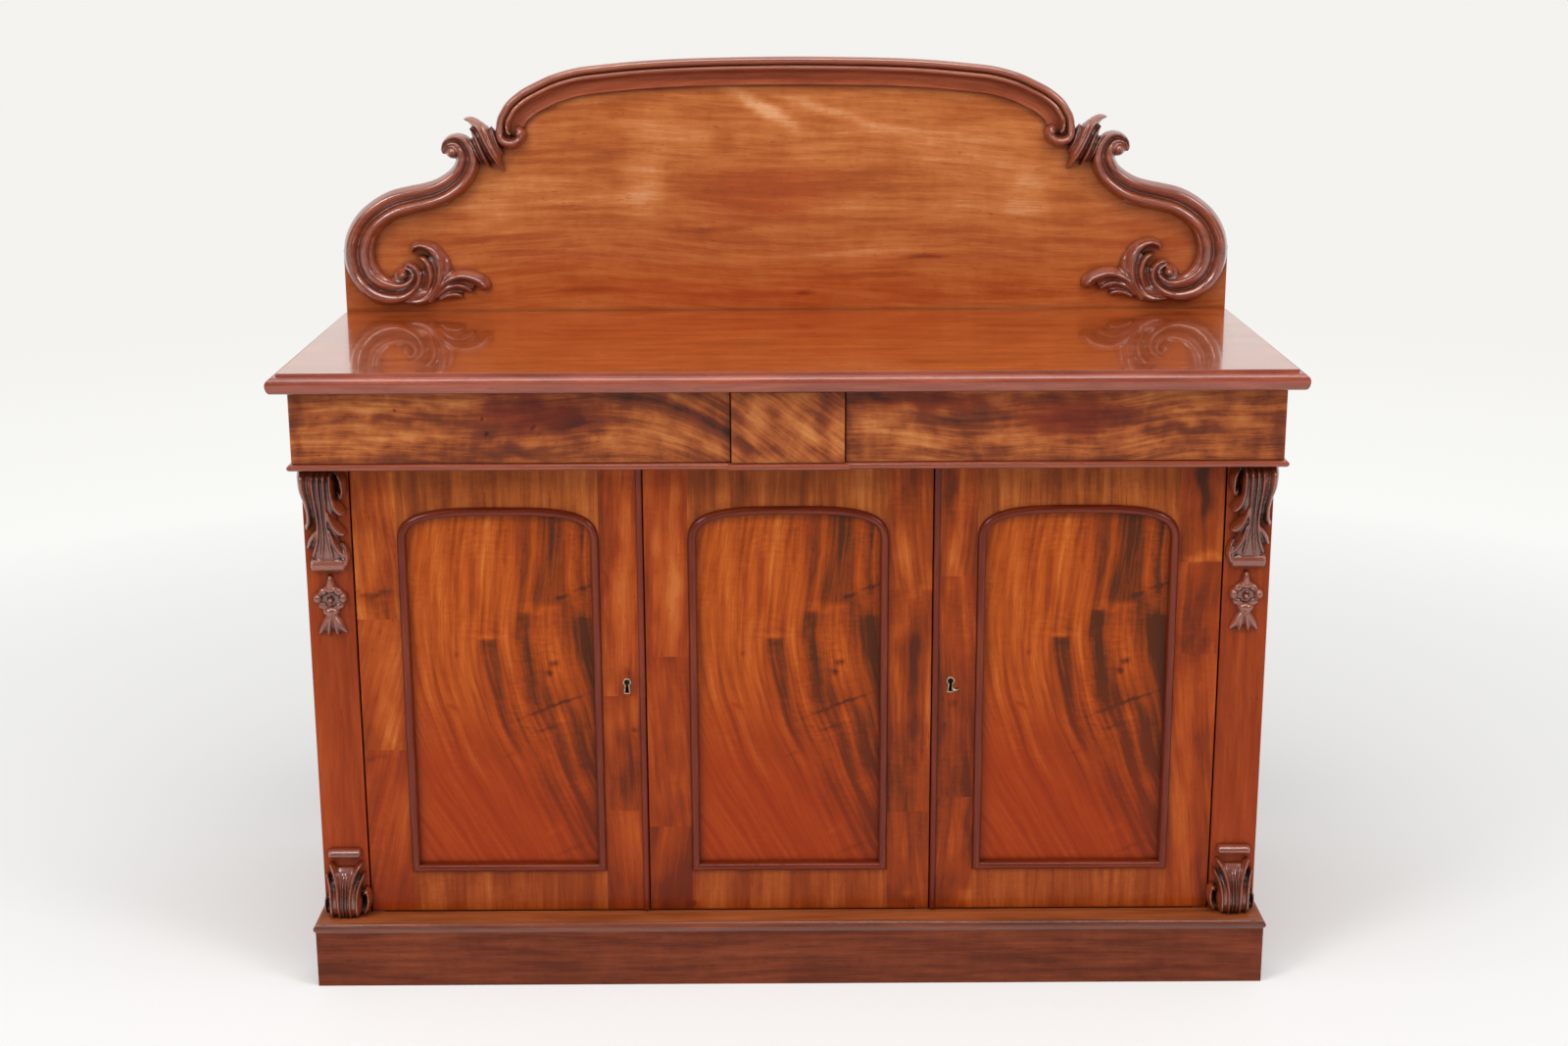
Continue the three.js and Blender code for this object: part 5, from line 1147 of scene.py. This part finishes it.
leaf_rows = (
    ((0.843, 0.24, 0.45, 0.8), (0.8425, 0.256, 0.65, 0.9), (0.828, 0.268, 0.85, 0.95),
     (0.81, 0.262, 1.0, 1.0), (0.794, 0.243, 1.25, 1.1), (0.783, 0.21, 1.35, 1.15), (0.78, 0.169, 1.3, 1.1),
     (0.786, 0.117, 1.2, 1.05), (0.803, 0.07, 1.1, 0.95), (0.831, 0.043, 0.9, 0.85),
     (0.867, 0.044, 0.6, 0.6)),
    ((0.795, 0.1, 1.0, 0.6), (0.82, 0.072, 1.7, 0.8), (0.845, 0.065, 1.8, 0.85), (0.87, 0.07, 1.6, 0.85)),
    ((0.833, 0.22, 0.35, 0.6), (0.818, 0.212, 0.8, 0.9), (0.806, 0.18, 0.95, 0.95),
     (0.803, 0.138, 0.95, 0.95), (0.812, 0.092, 0.8, 0.8), (0.826, 0.06, 0.5, 0.6)),
    ((0.79, 0.235, 1.0, 0.4), (0.797, 0.18, 1.7, 0.55), (0.808, 0.11, 2.0, 0.6), (0.835, 0.06, 1.5, 0.5)),
    ((0.772, 0.228, 0.3, 0.4), (0.765, 0.195, 0.6, 0.6), (0.768, 0.14, 0.7, 0.65), (0.784, 0.09, 0.6, 0.6)),
    ((0.809, 0.039, 0.6, 0.7), (0.793, 0.078, 0.9, 0.9), (0.774, 0.116, 1.1, 1.0),
     (0.751, 0.14, 1.15, 1.05), (0.725, 0.144, 1.2, 1.1), (0.698, 0.128, 1.3, 1.15),
     (0.682, 0.105, 1.2, 1.05), (0.677, 0.09, 0.6, 0.7)),
    ((0.793, 0.06, 0.5, 0.7), (0.77, 0.094, 0.8, 0.8), (0.746, 0.108, 0.85, 0.85), (0.724, 0.098, 0.8, 0.8),
     (0.712, 0.082, 0.4, 0.6)),
    ((0.787, 0.05, 0.4, 0.6), (0.766, 0.068, 0.7, 0.7), (0.746, 0.07, 0.7, 0.7), (0.734, 0.06, 0.4, 0.5)),
    ((0.79, 0.07, 1.0, 0.4), (0.765, 0.095, 1.5, 0.55), (0.735, 0.112, 1.6, 0.55),
     (0.708, 0.108, 1.0, 0.5)),
)
# The eyes of the hook and the volute, and the low boss between the leaves: place across and up, half width,
# half height, relief.
scroll_bosses = ((0.7435, 0.637, 0.0118, 0.0118, 0.0264), (0.866, 0.15, 0.0097, 0.0097, 0.0253),
                 (0.862, 0.135, 0.022, 0.02, 0.012))


def scrolls():
    """Two rolls side by side run along the S with a thread inside its bend; the leaves and their low bodies
    fan out from its foot."""
    sizes = (*on_splash, scroll_half, scroll_relief)
    shapes = [ridge(laid(scroll_rows, *sizes), rolls(2, 0.45, 0.3), 150, splash_ground),
              ridge(laid(scroll_thread_rows, *sizes), blade(2), 90, splash_ground)]
    shapes += [ridge(laid(rows, *on_splash, leaf_half, leaf_relief), blade(), 50, splash_ground)
               for rows in leaf_rows]
    shapes += [dome(-splash_half * across, splash_low.z + splash_rise * up, *boss, splash_ground)
               for across, up, *boss in scroll_bosses]
    carved("splash_scroll", shapes, ["scroll_left", "scroll_right"], broad_gouge, 6)


scrolls()

# Arch of the splashback: a moulding of two beads and a hollow, run on the curve and glued along the board's
# head. At each springing it curls up into a hook.
arch_tones = ("#512415", "#873f26", "#a2593a", "#bb7955")
cove_tones = ("#55251a", "#884027", "#a25536", "#b86f4e")
arch_rows = (
    (0.645, 0.694), (0.6447, 0.72), (0.644, 0.743), (0.6405, 0.77), (0.633, 0.795), (0.622, 0.824),
    (0.607, 0.85), (0.583, 0.88), (0.555, 0.905), (0.525, 0.929), (0.491, 0.948), (0.461, 0.96),
    (0.427, 0.968), (0.33, 0.984), (0.236, 0.993), (0.12, 0.998), (0, 1),
)
arch_hook_rows = (
    (0.639, 0.745, 0.5, 0.85), (0.6385, 0.72, 0.75, 0.95), (0.6375, 0.698, 0.95, 1.02),
    (0.632, 0.679, 1.05, 1.08), (0.619, 0.6685, 1.1, 1.1), (0.604, 0.6705, 1.1, 1.1),
    (0.5925, 0.685, 1.05, 1.08), (0.588, 0.703, 0.95, 1.05), (0.5915, 0.718, 0.8, 1.0),
    (0.6, 0.7245, 0.5, 0.8),
)
arch_finger_rows = ((0.624, 0.76, 0.6, 0.75), (0.6215, 0.73, 0.8, 0.85), (0.6185, 0.71, 0.85, 0.9),
                    (0.612, 0.702, 0.6, 0.8))
arch_foot, hollow_start, hollow_reach, sinking_start = -0.001, -0.0212, 0.0218, -0.011
# Each bead's middle and radius across, its root and its crest.
arch_beads = ((-0.0062, 0.006, 0.010, 0.0185), (-0.0172, 0.0044, 0.008, 0.0155))


def arch_sections():
    """Outlines of the arch moulding's two strips, from the outer edge in: a bead, a quirk and a smaller bead,
    then a broad hollow whose height grows with the square of the way across it, down to a thin edge."""
    turn = run(0, math.pi, 13)
    beads = [np.stack([middle + radius * np.cos(turn), low + (peak - low) * np.sin(turn)], -1)
             for middle, radius, low, peak in arch_beads]
    inward = run(0, 1, 16)
    hollow = np.stack([hollow_start - hollow_reach * inward,
                       0.0034 + 0.0036 * inward ** 2 + 0.004 * (1 - inward) ** 6], -1)
    lip = [(-0.0436, 0.0066), (-0.044, 0.0056), (-0.044, arch_foot)]
    return (np.vstack([(0, arch_foot), (-0.0002, 0.009), *beads, (-0.022, arch_foot), (0, arch_foot)]),
            np.vstack([(hollow_start, arch_foot), hollow, lip, (hollow_start, arch_foot)]))


def arch():
    """The two strips follow one path over the crown. Towards both ends all but the outer bead sinks into the
    board, with the 0.6th power of the distance from the end."""
    rows = np.array(arch_rows)
    line = flowing(np.vstack([rows, rows[-2::-1] * (-1, 1)]), 260)
    path = line * (-splash_half, splash_rise) + (0, splash_low.z)
    outward = unit(np.gradient(path, axis=0))[:, ::-1] * (-1, 1)
    gone = walked(path)
    dying = np.clip(np.minimum(gone, gone[-1] - gone)[:, None] / 0.03, 0, 1) ** 0.6
    strips = []
    for number, section in enumerate(arch_sections()):
        sheet = strip(path, outward, section, splash_low.y)
        share = np.where((section[:, 0] < sinking_start) & (section[:, 1] > 0), dying, 1)
        height = section[:, 1] * share
        sheet["points"][..., 1] = splash_low.y - height
        strips.append(sheet | {"closed": True, "finish": number})
    finish = mahogany("arch_mahogany", arch_tones, 0.25, 0.3, roughness=0.3, coat=1.0, polish=0.4, gloss=0.13,
                      shine=1.8)
    cove_finish = mahogany("arch_hollow_mahogany", cove_tones, 0.25, 0.3, coat=0.12, grime_and_shade=0.8)
    piece("arch_run", strips, [finish, cove_finish], "carcase", ["arch_moulding"], crease=50)
    shapes = [ridge(laid(arch_hook_rows, *on_splash, 0.0088, 0.0205), blade(2.2), 70, splash_ground),
              ridge(laid(arch_finger_rows, *on_splash, 0.006, 0.017), blade(2), 30, splash_ground),
              dome(-splash_half * 0.593, splash_low.z + splash_rise * 0.706, 0.0075, 0.0085, 0.0245,
                   splash_ground)]
    carved("arch_hook", shapes, ["arch_moulding", "arch_moulding"], broad_gouge, 6)


arch()

# Knot leaves: a twisted leaf on each side that ties the arch to its scroll.
# Each is carved from one block, with five blades over a low body, and glued into the gap between the two.
knot_rows = (
    ((0.716, 0.763, 0.25, 0.5), (0.7, 0.756, 0.8, 0.8), (0.682, 0.727, 1.15, 1.1), (0.669, 0.68, 1.2, 1.2),
     (0.653, 0.625, 1.15, 1.15), (0.639, 0.582, 0.7, 0.8), (0.63, 0.56, 0.25, 0.4)),
    ((0.679, 0.752, 0.2, 0.5), (0.667, 0.715, 0.85, 0.9), (0.656, 0.668, 1.0, 1.0),
     (0.645, 0.627, 0.9, 0.9), (0.638, 0.595, 0.3, 0.5)),
    ((0.657, 0.735, 0.15, 0.5), (0.649, 0.695, 0.75, 0.75), (0.641, 0.655, 0.8, 0.8),
     (0.632, 0.622, 0.25, 0.4)),
    ((0.704, 0.728, 0.15, 0.5), (0.69, 0.695, 0.9, 0.95), (0.679, 0.648, 1.0, 1.05),
     (0.668, 0.602, 0.8, 0.9), (0.659, 0.572, 0.2, 0.4)),
    ((0.71, 0.693, 0.15, 0.5), (0.697, 0.662, 0.8, 0.85), (0.687, 0.622, 0.8, 0.85),
     (0.678, 0.585, 0.2, 0.4)),
    ((0.676, 0.725, 1.2, 0.5), (0.67, 0.67, 2.0, 0.6), (0.66, 0.615, 1.5, 0.5)),
)
knot_half, knot_relief = 0.0085, 0.024


def knots():
    """Sharp blades side by side, each on its own path, over one low body."""
    shapes = [ridge(laid(rows, *on_splash, knot_half, knot_relief), blade(1.3), 50, splash_ground)
              for rows in knot_rows]
    carved("splash_knot", shapes, ["knot_leaf_left", "knot_leaf_right"])


knots()

# Corbels: a fluted leaf at the head of each pilaster, carved from one block and glued on under the bead.
# Its rolls turn over at the top and spread into blades at the foot, over a half-round bar.
pilaster_middle, pilaster_ground = -0.6615, door_front + carving_sink
corbel_height, corbel_half, corbel_relief = 0.133, 0.027, 0.034
bar_height, bar_half, bar_relief, bar_end = 0.023, 0.0265, 0.0135, 0.06


def rounded_bar(foot, height, half):
    """Half-round bar lying level, its two ends rounded over: the section shrinks near each end."""
    turn = run(0, math.pi, 21)
    along = run(0, 1, 30)[:, None]
    girth = np.clip(np.minimum(along, 1 - along) / bar_end, 0.02, 1) ** 0.4
    x = pilaster_middle - half + 2 * half * along
    z = foot + height / 2 - np.cos(turn) * height / 2 * girth
    y = pilaster_ground - (bar_relief + carving_sink) * np.sin(turn) * girth
    points = np.stack([np.broadcast_to(x, z.shape), y, z], -1)
    return np.concatenate([points, points[:, :1]], 1)


def leafwork(sizes, body, power, ribs):
    """A carved leaf on the left pilaster: ribs over a low body. All their rows are in shares of its sizes."""
    shapes = [ridge(laid(body, *sizes), blade(power), 60, pilaster_ground)]
    return shapes + [ridge(laid(rows, *sizes), blade(1.8), 50, pilaster_ground) for rows in ribs]


corbel_rows = (
    (0, -0.03, 0.86, 0.3), (-0.02, 0.12, 0.8, 0.38), (-0.02, 0.3, 0.62, 0.48), (-0.05, 0.5, 0.66, 0.6),
    (-0.12, 0.68, 0.84, 0.76), (-0.2, 0.84, 0.96, 0.82), (-0.2, 0.92, 0.96, 0.74), (-0.2, 0.97, 0.94, 0.56),
    (-0.2, 1, 0.9, 0.36),
)
corbel_ribs = (
    ((-1.0, 1, 0.34, 0.5), (-1.03, 0.96, 0.38, 0.8), (-1.05, 0.89, 0.39, 1.0), (-1.02, 0.76, 0.36, 0.96),
     (-0.88, 0.62, 0.27, 0.82), (-0.82, 0.5, 0.22, 0.7), (-0.86, 0.4, 0.2, 0.6), (-0.98, 0.33, 0.15, 0.52),
     (-1.06, 0.36, 0.08, 0.42)),
    ((-0.46, 1, 0.18, 0.44), (-0.46, 0.96, 0.2, 0.8), (-0.46, 0.89, 0.21, 1.03), (-0.45, 0.76, 0.2, 1.0),
     (-0.4, 0.6, 0.19, 0.87), (-0.36, 0.45, 0.17, 0.74), (-0.38, 0.3, 0.17, 0.6), (-0.52, 0.14, 0.19, 0.52),
     (-0.74, 0.01, 0.15, 0.42)),
    ((-0.16, 1, 0.16, 0.44), (-0.16, 0.96, 0.18, 0.82), (-0.16, 0.89, 0.19, 1.05),
     (-0.15, 0.76, 0.18, 1.02), (-0.13, 0.6, 0.16, 0.89), (-0.12, 0.45, 0.14, 0.76),
     (-0.12, 0.3, 0.14, 0.62), (-0.18, 0.14, 0.16, 0.54), (-0.28, 0, 0.15, 0.44)),
    ((0.14, 1, 0.18, 0.44), (0.14, 0.96, 0.2, 0.82), (0.14, 0.89, 0.21, 1.05), (0.14, 0.76, 0.2, 1.02),
     (0.13, 0.6, 0.18, 0.89), (0.11, 0.45, 0.16, 0.76), (0.13, 0.3, 0.16, 0.62), (0.2, 0.14, 0.18, 0.54),
     (0.3, 0, 0.16, 0.44)),
    ((0.45, 1, 0.15, 0.42), (0.45, 0.96, 0.17, 0.76), (0.45, 0.89, 0.18, 0.98), (0.45, 0.76, 0.19, 0.94),
     (0.49, 0.66, 0.22, 0.88), (0.66, 0.56, 0.26, 0.82), (0.9, 0.5, 0.24, 0.72), (1.06, 0.52, 0.12, 0.55)),
    ((0.18, 0.56, 0.1, 0.72), (0.3, 0.44, 0.2, 0.76), (0.52, 0.34, 0.25, 0.73), (0.78, 0.28, 0.26, 0.66),
     (1.02, 0.27, 0.18, 0.55)),
    ((0.24, 0.33, 0.1, 0.62), (0.4, 0.18, 0.2, 0.6), (0.64, 0.08, 0.24, 0.54), (0.92, 0.01, 0.2, 0.44)),
    ((-0.36, 0.34, 0.1, 0.52), (-0.6, 0.26, 0.2, 0.54), (-0.84, 0.18, 0.2, 0.48), (-1.0, 0.1, 0.12, 0.38)),
    ((0.72, 1, 0.1, 0.42), (0.84, 0.94, 0.16, 0.78), (1.02, 0.86, 0.18, 0.86), (1.04, 0.74, 0.16, 0.8),
     (0.9, 0.67, 0.13, 0.7), (0.8, 0.73, 0.1, 0.62)),
)
corbel_curl = ((0.86, -0.13, 0.1, 0.3), (1.02, -0.02, 0.2, 0.42), (0.98, 0.08, 0.16, 0.4),
               (0.8, 0.16, 0.1, 0.3))
corbel_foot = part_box("corbel_left")[1].z - corbel_height


def corbels():
    """A flat body under its ribs, the half-round bar below it, and the leaf tip that curls up beside the
    bar."""
    sizes = (pilaster_middle, corbel_foot, corbel_half, corbel_height, corbel_half, corbel_relief)
    shapes = leafwork(sizes, corbel_rows, 4, corbel_ribs)
    shapes += [rounded_bar(corbel_foot - bar_height, bar_height, bar_half),
               ridge(laid(corbel_curl, *sizes), blade(1.8), 30, pilaster_ground)]
    carved("corbel_carving", shapes, ["corbel_left", "corbel_right"])


corbels()

# Flower drops: a flower with a hanging leaf below each corbel, carved from thin mahogany and glued on.
# It is a stalk, bosses for the petals and the fruit, and four leaves that spread from its foot.
flower_half, flower_relief, small_gouge = 0.020, 0.0105, 0.0009
flower_stalk = (
    (0.05, 1.01, 0.2, 0.8), (0.05, 0.95, 0.28, 1.1), (0.04, 0.86, 0.38, 1.15), (0.03, 0.76, 0.5, 0.9),
)
flower_bosses = (
    (0.0, 0.785, 0.0115, 0.0065, 0.0115), (-0.92, 0.63, 0.0068, 0.0088, 0.0125),
    (0.92, 0.635, 0.007, 0.0095, 0.0125), (0.0, 0.6, 0.0052, 0.0052, 0.012),
    (-0.02, 0.41, 0.013, 0.0085, 0.0125), (0.0, 0.61, 0.015, 0.014, 0.0028),
    (-0.52, 0.735, 0.007, 0.0065, 0.008), (0.54, 0.735, 0.007, 0.0065, 0.008),
    (0.6, 0.5, 0.0075, 0.006, 0.007), (-0.6, 0.5, 0.0075, 0.006, 0.007),
)
flower_leaves = (
    ((0, 0.42, 0.25, 0.7), (-0.34, 0.27, 0.32, 0.9), (-0.66, 0.13, 0.32, 0.9), (-0.96, 0.03, 0.14, 0.4)),
    ((0, 0.42, 0.25, 0.7), (0.36, 0.27, 0.34, 0.9), (0.72, 0.14, 0.34, 0.9), (1.06, 0.05, 0.14, 0.4)),
    ((-0.05, 0.42, 0.25, 0.8), (-0.14, 0.24, 0.3, 1.0), (-0.24, 0.08, 0.24, 0.9), (-0.3, -0.01, 0.1, 0.3)),
    ((0.1, 0.4, 0.2, 0.7), (0.26, 0.2, 0.26, 1.0), (0.38, 0.06, 0.2, 0.8), (0.46, 0.0, 0.1, 0.3)),
)


def flowers():
    """The stalk is one ridge, each petal and the fruit a boss, and each leaf a sharper ridge."""
    low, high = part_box("flower_drop_left")
    rise = high.z - low.z
    sizes = (pilaster_middle, low.z, flower_half, rise, flower_half, flower_relief)
    shapes = [ridge(laid(flower_stalk, *sizes), blade(2), 24, pilaster_ground)]
    shapes += [dome(pilaster_middle + across * flower_half, low.z + up * rise, *boss, pilaster_ground)
               for across, up, *boss in flower_bosses]
    shapes += [ridge(laid(rows, *sizes), blade(1.5), 30, pilaster_ground) for rows in flower_leaves]
    carved("flower_carving", shapes, ["flower_drop_left", "flower_drop_right"], small_gouge, 3)


flowers()

# Foot scrolls: a leaf that rolls under at its foot, standing on the plinth below a second bar.
# Each is carved from one block like the corbels and glued to its pilaster.
foot_height, foot_half, foot_relief = 0.093, 0.032, 0.032
foot_bar_rise, foot_bar_height, foot_bar_half = 0.0885, 0.0155, 0.0255
foot_rows = (
    (0, 0, 0.72, 0.62), (0, 0.08, 0.84, 0.74), (0, 0.2, 0.88, 0.82), (0, 0.32, 0.82, 0.8),
    (0, 0.45, 0.72, 0.7), (0, 0.6, 0.62, 0.5), (0, 0.72, 0.6, 0.34), (0, 0.8, 0.5, 0.16),
)
foot_ribs = (
    ((-0.27, 0, 0.17, 0.8), (-0.29, 0.08, 0.19, 0.92), (-0.3, 0.2, 0.2, 1.0), (-0.31, 0.34, 0.19, 1.0),
     (-0.34, 0.5, 0.17, 0.9), (-0.43, 0.67, 0.17, 0.76), (-0.55, 0.79, 0.15, 0.66),
     (-0.68, 0.885, 0.1, 0.5)),
    ((0.22, 0, 0.15, 0.8), (0.22, 0.08, 0.17, 0.92), (0.22, 0.2, 0.18, 1.0), (0.23, 0.34, 0.17, 1.0),
     (0.28, 0.5, 0.17, 0.9), (0.41, 0.67, 0.17, 0.76), (0.58, 0.79, 0.15, 0.66), (0.78, 0.885, 0.1, 0.5)),
    ((-0.1, 0, 0.1, 0.8), (-0.1, 0.2, 0.11, 1.0), (-0.1, 0.4, 0.1, 0.92), (-0.1, 0.58, 0.08, 0.66),
     (-0.1, 0.7, 0.05, 0.42)),
    ((0.05, 0, 0.1, 0.8), (0.05, 0.2, 0.11, 1.0), (0.05, 0.4, 0.1, 0.92), (0.04, 0.58, 0.08, 0.66),
     (0.03, 0.7, 0.05, 0.42)),
    ((0.5, 0.01, 0.17, 0.74), (0.52, 0.1, 0.2, 0.9), (0.53, 0.3, 0.19, 0.9), (0.58, 0.46, 0.17, 0.78),
     (0.7, 0.58, 0.14, 0.66), (0.86, 0.7, 0.1, 0.5)),
    ((-0.6, 0.01, 0.17, 0.74), (-0.64, 0.1, 0.2, 0.9), (-0.66, 0.3, 0.18, 0.88), (-0.68, 0.46, 0.16, 0.76),
     (-0.76, 0.6, 0.13, 0.6), (-0.86, 0.7, 0.09, 0.46)),
    ((0.82, 0.06, 0.12, 0.64), (0.98, 0.14, 0.14, 0.72), (1.06, 0.26, 0.13, 0.74), (1.03, 0.38, 0.12, 0.7),
     (0.92, 0.43, 0.1, 0.62), (0.84, 0.37, 0.08, 0.6)),
    ((-0.88, 0.06, 0.1, 0.6), (-0.96, 0.16, 0.12, 0.66), (-0.96, 0.3, 0.1, 0.56)),
)


def foot_leaves():
    """A flat body under its ribs, and the half-round bar over its upper end."""
    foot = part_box("foot_scroll_left")[0].z
    sizes = (pilaster_middle, foot, foot_half, foot_height, foot_half, foot_relief)
    shapes = leafwork(sizes, foot_rows, 5, foot_ribs)
    shapes.append(rounded_bar(foot + foot_bar_rise, foot_bar_height, foot_bar_half))
    carved("foot_carving", shapes, ["foot_scroll_left", "foot_scroll_right"])


foot_leaves()

# Right keyhole: a strip of its brass thread has come loose and stands bent out to the lower right.
# Only its upper end is still held in the groove round the keyhole. Rows: across, up, half width, height.
loose_rows = (
    (0.0026, 0.0012, 0.0009, 0.0018), (0.003, -0.0028, 0.0018, 0.0026), (0.0036, -0.0062, 0.0026, 0.003),
    (0.0062, -0.0082, 0.0024, 0.0034), (0.0098, -0.0074, 0.0015, 0.0036), (0.0128, -0.0055, 0.0007, 0.003),
)


def loose_thread():
    """A rounded ridge on the door's face whose path starts at the keyhole's right edge and bends up again."""
    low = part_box("door_right_stile_left")[0]
    rows = np.array(loose_rows) + (low.x + key_inset, low.z + key_height, 0, 0)
    points = ridge(rows, blade(2), 24, door_front + 0.0003)
    piece("escutcheon_loose_right", [{"points": points, "grain": points[..., [0, 2]], "closed": True}],
          [brass_finish], "door_right", ["escutcheon_right"], crease=60)


loose_thread()
